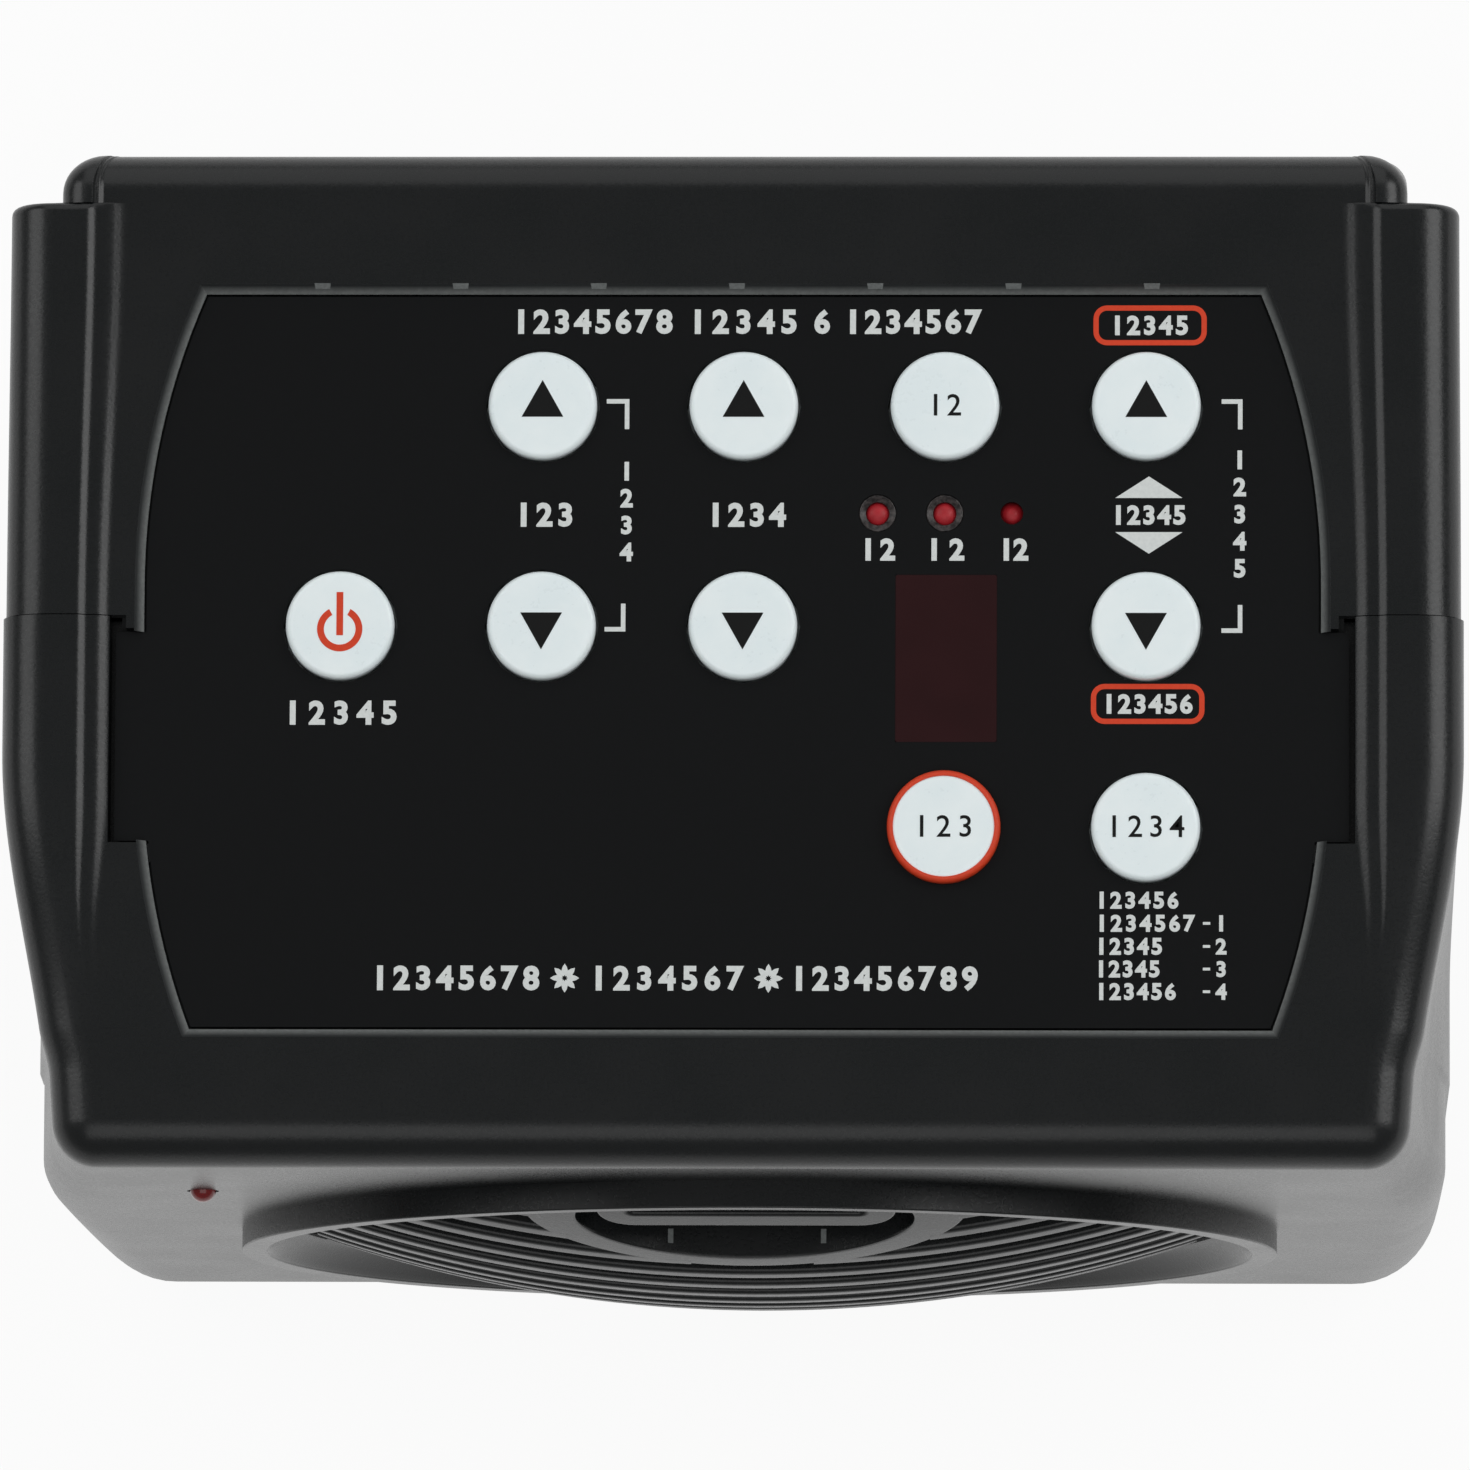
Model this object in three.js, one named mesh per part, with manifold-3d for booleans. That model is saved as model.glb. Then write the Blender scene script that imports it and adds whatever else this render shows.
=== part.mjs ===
// An electronic tanpura: a drone box that stands on a table.
// Its control panel is on top, and a round loudspeaker looks out of the front through a domed grille.
// The case is two shells that meet on an upright plane across the middle of the depth.
// Axes: X to the right, Y to the rear, Z up. The origin is on the table, under the middle of the whole box.
import * as THREE from "three";
import { mergeVertices } from "three/addons/utils/BufferGeometryUtils.js";
import Module from "manifold-3d";

const wasm = await Module();
wasm.setup();

// Driving dimensions, in millimetres.

// The case.
const CASE_WIDTH = 161.2;
const CASE_DEPTH = 113.2;
const FRAME_MARGIN = 15; // from the collar's fillet up to the frame round the panel
const COLLAR_BASE_MARGIN = 0.5; // from the base up to the collar's fillet
const FRONT_SHELL_DEPTH = 60.7;
const WALL = 2.4;
const FIT_GAP = 0.3; // between two pieces that meet
const OVERRUN = 2; // how far a cut runs past what it cuts
const MERGE_DISTANCE = 0.0001;

// The rounding of the case.
const TOP_EDGE_RADIUS = 5;
const BASE_CORNER_RADIUS = 10;
const BASE_EDGE_RADIUS = 3;
const LEAST_RADIUS = 0.5;
const TOP_TAPER = 5.9; // how much narrower each side is at the front, at the top
const BASE_TAPER = 1.3; // and at the base
const TAPER_FADE = 60; // the height over which one turns into the other
const TAPER_START = 46; // distance behind the front face where the sides begin to draw in
const TAPER_LENGTH = 43;
const BASE_TAPER_LENGTH = 20;
const CHEEK_STEP = 0.5; // the cheeks step in by this much before the front corner
const CHEEK_START = 15.4; // behind the front face
const CHEEK_RAMP = 1;
const PARTING_STEP = 0.3; // the rear shell is this much narrower on each side
const REAR_TAPER = 0.15;

// The raised pillars along both sides, with a valley beside the frame.
const PILLAR_RISE = 0.8;
const PILLAR_FLAT_OFFSET = 7.9; // distances in from the widest side
const PILLAR_RIDGE_OFFSET = 9.1;
const VALLEY_OFFSET = 10.1;
const FRAME_RIDGE_OFFSET = 11.6;
const FRAME_EDGE_OFFSET = 14.6;
const CREST_STEP = 0.3; // least distance between two lines of the crest
const PILLAR_FADE = 28; // length over which the pillars sink into the frame near the front
const PILLAR_END_RADIUS = 1;
const REAR_STEP_DEPTH = 6.5; // how far the rear body stands out behind the pillars
const REAR_STEP_WIDTH = 6.2; // how much narrower it is on each side
const REAR_EDGE_RADIUS = 5;
const REAR_SHOULDER_RADIUS = 3;

// The panel opening in the frame.
const PANEL_DEPTH = 47.4; // from the front face back to the line from which the panel is laid out
const PANEL_REAR = 49.3; // behind that line
const PANEL_FRONT = 32.5; // before it
const PANEL_MARGIN = 15.7; // from the widest side of the case to the panel's edge
const PANEL_SIDE_RADIUS = 82;
const PANEL_REAR_BEND = 17; // where the rear and front arcs start, from the same line
const PANEL_FRONT_BEND = 3.3;
const PANEL_RECESS = 1.15;
const PANEL_CHAMFER = 1;
const SLOT_MARGIN = 11.3; // the notch beside the panel, in from the widest side
const SLOT_FRONT = 11.9;
const TAB_MARGIN = 13.2;
const TAB_REAR = 11.6;
const TONGUE_MARGIN = 13.8; // the small tongue of the rear shell's frame, beside the tab
const LABEL_THICKNESS = 0.3;
const FLANGE_THICKNESS = 1.6;
const FLANGE_OVERLAP = 3; // how far the plate's flange reaches under the frame
const RAIL_THICKNESS = 2;
const RAIL_GRIP = 2.4; // how far a rail reaches under the flange
const SLOT_WALL = 2;

// The keys and their switches.
const KEY_DIAMETER = 12;
const KEY_PROUD = 1.2;
const KEY_EDGE_RADIUS = 0.6;
const KEY_FLANGE = 1.2; // how far the retaining flange stands out
const KEY_FLANGE_THICKNESS = 1.3;
const KEY_FLANGE_GAP = 0.5;
const KEY_STEM_DIAMETER = 3.4;
const KEY_TRAVEL = 0.5;
const KEY_SIDE_MARGIN = 19.3; // from the panel's edge to the outer column
const KEY_CENTRE_OFFSET = 1.2; // the middle column, right of the case's centre
const KEY_ROW_REAR = 36.8;
const KEY_ROW_MIDDLE = 12.3;
const KEY_ROW_FRONT = -10;
const SWITCH_WIDTH = 6;
const SWITCH_HEIGHT = 4.2;
const SWITCH_CLEARANCE = 1.2; // from the switch up to the key's flange
const STEM_ENTRY = 1;

// Lamps and the display.
const LED_DIAMETER = 3;
const LED_FLANGE_DIAMETER = 3.8;
const LED_FLANGE_THICKNESS = 1;
const LED_BODY_HEIGHT = 5.3;
const LED_LEG = 0.5;
const LED_LEG_PITCH = 2.54;
const LED_PROUD = 0.3;
const LED_HOLE_DIAMETER = 4.2;
const LED_SMALL_HOLE_DIAMETER = 2.5;
const STRING_LED_ROW = 24.9;
const STRING_LED_PITCH = 7.4;
const lampSideShare = 0.332; // of the way from the speaker's flange out to the side wall
const POWER_LED_DROP = 30; // below the top
const POWER_LED_PROUD = 0.9;
const DISPLAY_WIDTH = 11.2;
const DISPLAY_LENGTH = 18.2;
const DISPLAY_CENTRE = 8.3; // behind the panel line
const WINDOW_THICKNESS = 2;
const WINDOW_LIP = 1.2;
const WINDOW_SINK = 0.15;
const DISPLAY_MODULE_MARGIN = 0.7;

// The boards.
const BOARD_THICKNESS = 1.6;
const KEY_BOARD_MARGIN = 21.6; // from the widest side of the case to the board's end
const KEY_BOARD_REAR = 45;
const KEY_BOARD_FRONT = 20;
const STAKE_DIAMETER = 5;
const STAKE_PIN_DIAMETER = 2.4;
const STAKE_HEAD_DIAMETER = 4.4;
const STAKE_HEAD_THICKNESS = 1;
const STAKE_INSET = 4.5;
const MAIN_BOARD_WIDTH = 112;
const MAIN_BOARD_HEIGHT = 62;
const MAIN_BOARD_DROP = 12.9; // of its top edge below the key board
const MAIN_BOARD_STANDOFF = 12; // from the rear wall's inside
const CHIP_WIDTH = 14;
const CHIP_THICKNESS = 2.4;
const FIN_DEPTH = 9;
const FIN_THICKNESS = 0.9;
const CAPACITOR_DIAMETER = 8;
const CAPACITOR_HEIGHT = 11.5;
const CAPACITOR_PITCH = 10;

// The loudspeaker, its collar and its grille. Forward distances are taken from the front face.
const COLLAR_RADIUS = 59;
const COLLAR_LIP = 2.8; // width of the lip's flat
const COLLAR_PROUD = 2.3;
const COLLAR_FILLET = 2;
const filletShare = 0.3; // of the fillet, where its slope turns
const lipEdgeShare = 0.2; // of the lip's width, taken by its bevel
const TROUGH_WIDTH = 3;
const troughWidthShare = 0.5; // where the trough's slope turns
const troughDepthShare = 0.35;
const GRILLE_RECESS = 3; // of the dome's rim behind the lip
const DOME_RADIUS = 160;
const SLAT_PITCH = 5.94;
const SLAT_THICKNESS = 2.6;
const SLAT_DEPTH = 3;
const SLAT_OFFSET = -2.2; // of one slat from the speaker's axis
const GRILLE_RIM = 2.2;
const GRILLE_FLANGE = 2.6;
const GRILLE_FLANGE_THICKNESS = 1.5;
const STIFFENER_WIDTH = 1.6;
const STIFFENER_DEPTH = 2;
const BADGE_HEIGHT = 40.5; // of the bare badge seat's middle above the speaker's axis
const BADGE_HALF_WIDTH = 25;
const BADGE_HALF_HEIGHT = 14.4;
const BADGE_RIM_SIDE = 6;
const BADGE_RIM_BASE = 3.6;
const BADGE_FLOOR_DEPTH = 4;
const BADGE_FLOOR_THICKNESS = 1.2;
const SPEAKER_FLANGE_MARGIN = 10.3; // beyond the screws
const SPEAKER_FLANGE_THICKNESS = 1.2;
const SPEAKER_CORNER_RADIUS = 9;
const SPEAKER_SCREW_INSET = 1.5; // of the screws' circle inside the collar's
const BASKET_MARGIN = 2;
const BASKET_DEPTH = 24;
const BASKET_NECK = 3.6; // from the flange's face back to the basket's slope
const BASKET_WINDOW_WIDTH = 18;
const BASKET_WINDOW_START = 6; // behind the flange's face
const BASKET_FLOOR_RADIUS = 27;
const BASKET_METAL = 1.2;
const MAGNET_RADIUS = 32;
const MAGNET_THICKNESS = 12;
const YOKE_THICKNESS = 4;
const VOICE_COIL_RADIUS = 12.7;
const CONE_THICKNESS = 0.9;
const CONE_DEPTH = 14;
const SURROUND_ROLL = 3.2;
const SURROUND_SEAT = 2.6;
const DUST_CAP_RADIUS = 15;
const DUST_CAP_HEIGHT = 5;
const DUST_CAP_LIFT = 1.2; // off the cone

// Fasteners.
const SCREW_SHANK_DIAMETER = 3;
const SCREW_HEAD_DIAMETER = 5.6;
const SCREW_HEAD_HEIGHT = 2;
const SCREW_RECESS_WIDTH = 0.9;
const SCREW_RECESS_LENGTH = 3.2;
const SCREW_RECESS_DEPTH = 1;
const SCREW_SEAT_GAP = 0.1;
const SPEAKER_SCREW_LENGTH = 5;
const SPEAKER_POST_DIAMETER = 7.5;
const CASE_POST_DIAMETER = 8.4;
const CASE_POST_TOP_DROP = 19;
const CASE_POST_LIFT = 5.8; // of the lower posts above the case's base
const CASE_SCREW_LENGTH = 14;
const CASE_SCREW_SEAT = 6; // from the parting plane back to the seat of the head

// The battery bay, its door and the cells.
const CELL_DIAMETER = 14.2;
const CELL_LENGTH = 49.2;
const CELL_NUB_DIAMETER = 5.4;
const CELL_NUB_HEIGHT = 1.2;
const CELLS_ABREAST = 3;
const CELL_GAP = 0.6;
const CONTACT_THICKNESS = 0.5;
const CONTACT_WIDTH = 9.4;
const BAY_PLAY = 1.5; // what the cells leave free along the bay
const CONTACT_SPRING_RADIUS = 2.5;
const CONTACT_SPRING_HEIGHT = 1.6;
const BAY_WALL = 1.8;
const DOOR_THICKNESS = 1.2;
const DOOR_TONGUE = 1.6; // how far the runners stand out sideways
const DOOR_TONGUE_THICKNESS = 1;
const DOOR_TRAVEL = 50;
const DOOR_RIB_PITCH = 3;
const DOOR_RIB_WIDTH = 1.5;
const DOOR_RIB_COUNT = 5;
const DOOR_RIB_DEPTH = 0.4;
const DOOR_RIB_LENGTH = 26;
const BASE_THICKNESS = 3;

// The sockets in the rear wall.
const SOCKET_DROP = 10; // below the main board's top edge
const SOCKET_SPACING = 44;
const POWER_SOCKET_WIDTH = 9;
const POWER_SOCKET_HEIGHT = 11;
const POWER_SOCKET_BORE = 6.4;
const POWER_SOCKET_PIN = 2;
const POWER_SOCKET_PIN_LENGTH = 4.2;
const LINE_SOCKET_WIDTH = 9;
const LINE_SOCKET_BORE = 3.6;
const SOCKET_NOSE = 2.2; // length of the round nose in the wall
const SOCKET_NOSE_MARGIN = 1.5;
const SOCKET_BORE_DEPTH = 9;

// The feet.
const FOOT_HEIGHT = 2.5;
const FOOT_DIAMETER = 13;
const FOOT_DRAFT = 0.8;
const FOOT_INSET = 14;
const FOOT_FRONT_INSET = 13;
const FOOT_REAR_INSET = 13;

// The number of faces round each kind of curve.
const FINE_SIDES = 36;
const BASKET_SIDES = 20;
const KEY_SIDES = 16;
const ROUND_SIDES = 16;
const LAMP_SIDES = 10;
const SMALL_SIDES = 8;
const SLAT_STEPS = 4;

// Places worked out from the sizes above.
const rimForward = COLLAR_PROUD - GRILLE_RECESS;
const grilleRadius = COLLAR_RADIUS - COLLAR_LIP - TROUGH_WIDTH - FIT_GAP;
const domeDrop = (r) => DOME_RADIUS - Math.sqrt(DOME_RADIUS ** 2 - r ** 2);
const domeForward = (r) => rimForward + domeDrop(grilleRadius) - domeDrop(r);
const frontY = domeForward(0) - (CASE_DEPTH + domeForward(0)) / 2;
const rearY = frontY + CASE_DEPTH;
const partingY = frontY + FRONT_SHELL_DEPTH;
const panelY = frontY + PANEL_DEPTH;
const pillarEndY = rearY - REAR_STEP_DEPTH;
const halfCase = CASE_WIDTH / 2;
const keyPitch = (halfCase - PANEL_MARGIN - KEY_SIDE_MARGIN - KEY_CENTRE_OFFSET) / 2;
const baseZ = FOOT_HEIGHT;
const speakerZ = baseZ + COLLAR_BASE_MARGIN + COLLAR_RADIUS + COLLAR_FILLET;
const topZ = speakerZ + COLLAR_RADIUS + COLLAR_FILLET + FRAME_MARGIN;
const innerTopZ = topZ - WALL;
const labelTopZ = topZ - PANEL_RECESS;
const plateTopZ = labelTopZ - LABEL_THICKNESS;
const flangeTopZ = innerTopZ - FIT_GAP;
const flangeBottomZ = flangeTopZ - FLANGE_THICKNESS;
const keyFlangeTopZ = flangeBottomZ - KEY_FLANGE_GAP;
const keyFlangeBottomZ = keyFlangeTopZ - KEY_FLANGE_THICKNESS;
const switchTopZ = keyFlangeBottomZ - SWITCH_CLEARANCE;
const boardTopZ = switchTopZ - SWITCH_HEIGHT;
const boardBottomZ = boardTopZ - BOARD_THICKNESS;
const mainBoardTop = boardBottomZ - MAIN_BOARD_DROP;
const mainBoardBottom = mainBoardTop - MAIN_BOARD_HEIGHT;
const socketZ = mainBoardTop - SOCKET_DROP;
const keyBoardWidth = CASE_WIDTH - 2 * KEY_BOARD_MARGIN;

const ease = (t) => {
  const s = Math.min(1, Math.max(0, t));
  return s * s * (3 - 2 * s);
};
const spread = (from, to, count) =>
  Array.from({ length: count + 1 }, (_, i) => from + ((to - from) * i) / count);

// Solids: a geometry becomes a closed solid that can be joined and cut.
function solid(geometry) {
  const bare = geometry.index ? geometry.toNonIndexed() : geometry.clone();
  for (const name of Object.keys(bare.attributes)) if (name !== "position") bare.deleteAttribute(name);
  const merged = mergeVertices(bare, MERGE_DISTANCE);
  const corners = merged.index.array;
  const build = (order) => {
    const kept = [];
    for (let i = 0; i < corners.length; i += 3) {
      const face = order.map((k) => corners[i + k]);
      if (new Set(face).size === order.length) kept.push(...face);
    }
    const vertProperties = merged.attributes.position.array;
    return new wasm.Manifold(new wasm.Mesh({ numProp: 3, vertProperties, triVerts: new Uint32Array(kept) }));
  };
  const made = build([0, 1, 2]);
  return made.volume() > 0 ? made : build([0, 2, 1]);
}

function join(first, ...rest) {
  return rest.reduce((whole, next) => whole.add(next), first);
}

function cut(first, ...rest) {
  return rest.reduce((whole, next) => whole.subtract(next), first);
}

function geometryOf(whole) {
  const { vertProperties, triVerts, numProp } = whole.getMesh();
  const positions = new Float32Array(triVerts.length * 3);
  triVerts.forEach((v, i) => {
    for (let axis = 0; axis < 3; axis++) positions[i * 3 + axis] = vertProperties[v * numProp + axis];
  });
  const geometry = new THREE.BufferGeometry();
  geometry.setAttribute("position", new THREE.BufferAttribute(positions, 3));
  geometry.computeVertexNormals();
  return geometry;
}

// A block between two corners.
function block([x0, x1], [y0, y1], [z0, z1]) {
  const box = new THREE.BoxGeometry(x1 - x0, y1 - y0, z1 - z0);
  return solid(box.translate((x0 + x1) / 2, (y0 + y1) / 2, (z0 + z1) / 2));
}

// A flat outline in plan, raised from z0 to z1.
function prism(points, z0, z1) {
  const shape = new THREE.Shape(points.map(([x, y]) => new THREE.Vector2(x, y)));
  const raised = new THREE.ExtrudeGeometry(shape, { depth: z1 - z0, bevelEnabled: false });
  return solid(raised.translate(0, 0, z0));
}

// An outline seen from the front, in X and Z, carried from y0 back to y1.
function beam(points, y0, y1) {
  const shape = new THREE.Shape(points.map(([x, z]) => new THREE.Vector2(x, z)));
  const carried = new THREE.ExtrudeGeometry(shape, { depth: y1 - y0, bevelEnabled: false });
  return solid(carried.rotateX(Math.PI / 2).translate(0, y1, 0));
}

const circle = (x, y, radius, sides) =>
  spread(0, Math.PI * 2, sides).slice(1).map((a) => [x + radius * Math.cos(a), y + radius * Math.sin(a)]);
const rectangle = (x, y, width, length) => [
  [x - width / 2, y - length / 2],
  [x + width / 2, y - length / 2],
  [x + width / 2, y + length / 2],
  [x - width / 2, y + length / 2],
];

// An upright round bar, and a round bar that lies along Y.
const bar = (x, y, z0, z1, diameter, sides = SMALL_SIDES) =>
  prism(circle(x, y, diameter / 2, sides), z0, z1);
const spindle = (x, z, y0, y1, diameter, sides = SMALL_SIDES) =>
  beam(circle(x, z, diameter / 2, sides), y0, y1);

// A profile of radius and height, turned about an upright axis.
function turned(profile, x, y, sides = ROUND_SIDES) {
  const points = profile.map(([r, z]) => new THREE.Vector2(r, z));
  return solid(new THREE.LatheGeometry(points, sides).rotateX(Math.PI / 2).translate(x, y, 0));
}

// A profile of radius and forward distance, turned about an axis that points out of the front face.
function turnedForward(profile, x, z, sides = ROUND_SIDES) {
  const points = profile.map(([r, f]) => new THREE.Vector2(r, f));
  return solid(new THREE.LatheGeometry(points, sides).rotateX(Math.PI).translate(x, frontY, z));
}

// A skin through closed rings of equally many points, with a flat face on the first and the last.
function loft(rings) {
  const count = rings[0].length;
  const points = rings.flat();
  const faces = [];
  for (let i = 0; i + 1 < rings.length; i++)
    for (let j = 0; j < count; j++) {
      const next = (j + 1) % count;
      const [a, b, c, d] = [i * count + j, i * count + next, (i + 1) * count + next, (i + 1) * count + j];
      faces.push(a, b, c, a, c, d);
    }
  for (const last of [false, true]) {
    const start = last ? (rings.length - 1) * count : 0;
    const ring = points.slice(start, start + count);
    const middle = [0, 1, 2].map((axis) => ring.reduce((sum, p) => sum + p[axis], 0) / count);
    const centre = points.push(middle) - 1;
    for (let j = 0; j < count; j++) {
      const [a, b] = [start + j, start + ((j + 1) % count)];
      faces.push(...(last ? [centre, a, b] : [centre, b, a]));
    }
  }
  const geometry = new THREE.BufferGeometry();
  geometry.setAttribute("position", new THREE.Float32BufferAttribute(points.flat(), 3));
  geometry.setIndex(faces);
  return solid(geometry);
}

// The shells. Each section across the case is one ring: crest, shoulder, side and base edge.
const crestShares = [0, 0.6, 0.1, 0.8, 1]; // of the pillars' rise, from the frame's edge out to their flat
const crestOffsets = [
  FRAME_EDGE_OFFSET,
  FRAME_RIDGE_OFFSET,
  VALLEY_OFFSET,
  PILLAR_RIDGE_OFFSET,
  PILLAR_FLAT_OFFSET,
];
const rearCrestShares = [0, 0.1, -0.4, 0, 0];
const pillarSinkShares = [0, 0.1, 0.2, 0.8, 1]; // how far the crest sinks at the pillars' rear end
const levelShares = [1, 1, 1, 1, 1];
const sideHeightShares = [0.84, 0.68, 0.5];

// The points of one ring. turn goes from 0, where the end's rounding starts, to a right angle at its face.
function caseRing(body, y, turn = null) {
  const drawn = turn === null ? 0 : 1 - Math.cos(turn);
  const place = (r) => (turn === null ? y : body.face - body.outward * r * (1 - Math.sin(turn)));
  const half = (r, z) => body.halfWidth(place(r), z);
  const rise = PILLAR_RISE * body.rise(place(body.edge));
  const sink = (body.edge - Math.min(body.edge, body.shoulder)) * drawn;
  const limit = half(body.edge, body.top) - body.shoulder - sink;
  const crest = body.crest.map((share, i) => {
    const farthest = limit - (body.crest.length - i) * CREST_STEP;
    const x = Math.min(halfCase - crestOffsets[i], farthest);
    return [x, place(body.edge), body.top + share * rise - body.edge * drawn * body.sink[i]];
  });
  const arc = (radius, edge, corner, z, from, to, lift) => {
    const shrink = Math.min(corner, radius);
    const r = radius - shrink * drawn;
    const x = half(corner, z) - radius - (corner - shrink) * drawn;
    const turns = spread(from, to, body.arcSteps);
    return turns.map((a) => [x + r * Math.cos(a), place(corner), lift + r * Math.sin(a)]);
  };
  const shoulderZ = body.top + rise * body.crest.at(-1) - body.shoulder;
  const shoulder = arc(body.shoulder, body.edge, body.edge, body.top, Math.PI / 2, 0, shoulderZ - sink);
  const side = sideHeightShares.map((share) => {
    const z = body.base + (body.top - body.base) * share;
    const r = body.corner(z);
    return [half(r, z) - r * drawn, place(r), z];
  });
  const baseCorner = body.corner(body.base);
  const baseLift = body.base + body.baseEdge;
  const baseArc = arc(body.baseEdge, body.baseEdge, baseCorner, body.base, 0, -Math.PI / 2, baseLift);
  const right = [...crest, ...shoulder, ...side, ...baseArc];
  return [...right, ...right.map(([x, py, z]) => [-x, py, z]).reverse()];
}

const quarterTurns = (count) => spread(0, Math.PI / 2, count);
const least = (radius, inset) => Math.max(radius - inset, LEAST_RADIUS);

// The front shell's skin, or the space inside it when inset is the wall.
function frontBody(inset) {
  const down = (z) => ease((topZ - z) / TAPER_FADE);
  const low = (z) => Math.min(1, (topZ - z) / (topZ - baseZ));
  const taperY = frontY + TAPER_START;
  return {
    face: frontY + inset,
    outward: -1,
    top: topZ - inset,
    base: baseZ + inset,
    edge: least(TOP_EDGE_RADIUS, inset),
    shoulder: least(TOP_EDGE_RADIUS, inset),
    baseEdge: least(BASE_EDGE_RADIUS, inset),
    arcSteps: inset ? 2 : 3,
    crest: inset ? [0] : crestShares,
    sink: levelShares,
    corner: (z) => least(TOP_EDGE_RADIUS + (BASE_CORNER_RADIUS - TOP_EDGE_RADIUS) * low(z) ** 2, inset),
    rise: (y) => 1 - ease((taperY - y) / PILLAR_FADE),
    halfWidth: (y, z) => {
      const taper = TOP_TAPER + (BASE_TAPER - TOP_TAPER) * down(z) - CHEEK_STEP;
      const step = CHEEK_STEP * ease((frontY + CHEEK_START - y) / CHEEK_RAMP);
      const length = TAPER_LENGTH + (BASE_TAPER_LENGTH - TAPER_LENGTH) * down(z);
      return halfCase - inset - step - taper * ease((taperY - y) / length);
    },
  };
}

function frontSkin(inset, startY) {
  const body = frontBody(inset);
  const cheek = frontY + CHEEK_START;
  const stations = spread(frontY + TAPER_START, cheek, inset ? 2 : 4);
  return loft([
    ...[startY, ...stations, cheek - CHEEK_RAMP].map((y) => caseRing(body, y)),
    ...quarterTurns(inset ? 2 : 4).map((turn) => caseRing(body, null, turn)),
  ]);
}

// The rear shell's two bodies: the part between the pillars, and the narrower one behind them.
function rearBodies(inset) {
  const shared = {
    outward: 1,
    top: topZ - inset,
    base: baseZ + inset,
    baseEdge: least(BASE_EDGE_RADIUS, inset),
    arcSteps: inset ? 2 : 3,
  };
  const pillars = {
    ...shared,
    face: pillarEndY - inset,
    edge: inset ? LEAST_RADIUS : PILLAR_END_RADIUS,
    shoulder: least(TOP_EDGE_RADIUS, inset),
    crest: inset ? [0] : crestShares,
    sink: inset ? levelShares : pillarSinkShares,
    corner: () => (inset ? LEAST_RADIUS : PILLAR_END_RADIUS),
    rise: () => 1,
    halfWidth: (y) => {
      const share = ease((y - partingY) / (pillarEndY - partingY));
      return halfCase - inset - PARTING_STEP - REAR_TAPER * share;
    },
  };
  const rear = {
    ...shared,
    face: rearY - inset,
    edge: least(REAR_EDGE_RADIUS, inset),
    shoulder: least(REAR_SHOULDER_RADIUS, inset),
    crest: inset ? [0] : rearCrestShares,
    sink: levelShares,
    corner: () => least(REAR_EDGE_RADIUS, inset),
    rise: () => 1,
    halfWidth: () => halfCase - inset - REAR_STEP_WIDTH,
  };
  return { pillars, rear };
}

function rearSkin(inset, startY) {
  const { pillars, rear } = rearBodies(inset);
  return loft([
    caseRing(pillars, startY),
    ...quarterTurns(2).map((turn) => caseRing(pillars, null, turn)),
    caseRing(rear, pillars.face),
    ...quarterTurns(inset ? 2 : 3).map((turn) => caseRing(rear, null, turn)),
  ]);
}

// The panel's outline: straight across the rear and the front, an arc at each side's rear and front,
// and a tab in the middle of each side where wanted.
function panelOutline(grow, tab) {
  const [front, rear] = [panelY - PANEL_FRONT - grow, panelY + PANEL_REAR + grow];
  const radius = PANEL_SIDE_RADIUS + grow;
  const sideX = (y) => {
    const past = Math.max(0, y - panelY - PANEL_REAR_BEND, panelY - PANEL_FRONT_BEND - y);
    return halfCase - PANEL_MARGIN + grow - (radius - Math.sqrt(radius ** 2 - past ** 2));
  };
  const [tabFront, tabRear] = [panelY - SLOT_FRONT + FIT_GAP, panelY + TAB_REAR];
  const tabX = halfCase - TAB_MARGIN;
  const frontArc = spread(front, tabFront, 3).map((y) => [sideX(y), y]);
  const rearArc = spread(panelY + PANEL_REAR_BEND, rear, 4).map((y) => [sideX(y), y]);
  const tabPoints = [[tabX, tabFront], [tabX, tabRear], [sideX(tabRear), tabRear]];
  const middle = tab ? tabPoints : [[sideX(panelY), panelY - PANEL_FRONT_BEND]];
  const right = [...frontArc, ...middle, ...rearArc];
  return [...right, ...right.map(([x, y]) => [-x, y]).reverse()];
}

// The frame's opening, with its sloping edge above the label.
function openingCut() {
  const slope = (z) => {
    const grow = (PANEL_CHAMFER * (z - labelTopZ)) / PANEL_RECESS;
    return panelOutline(grow, false).map(([x, y]) => [x, y, z]);
  };
  return join(
    prism(panelOutline(0, false), innerTopZ - OVERRUN, labelTopZ + FIT_GAP),
    loft([slope(labelTopZ), slope(topZ + OVERRUN)]),
  );
}

const mirrorX = (place) => [place(-1), place(1)];
const sorted = (a, b) => [Math.min(a, b), Math.max(a, b)];
const railTopZ = flangeBottomZ - FIT_GAP;
const railBottomZ = railTopZ - RAIL_THICKNESS;
const railX = halfCase - TAB_MARGIN - RAIL_GRIP;

// The rails under the plate's flange run along both sides. What passes the wall is never cut free,
// so it doesn't show.
const rails = (y0, y1) =>
  mirrorX((side) => {
    const xs = sorted(side * railX, side * halfCase);
    return block(xs, [y0, y1], [railBottomZ, railTopZ]);
  });

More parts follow.
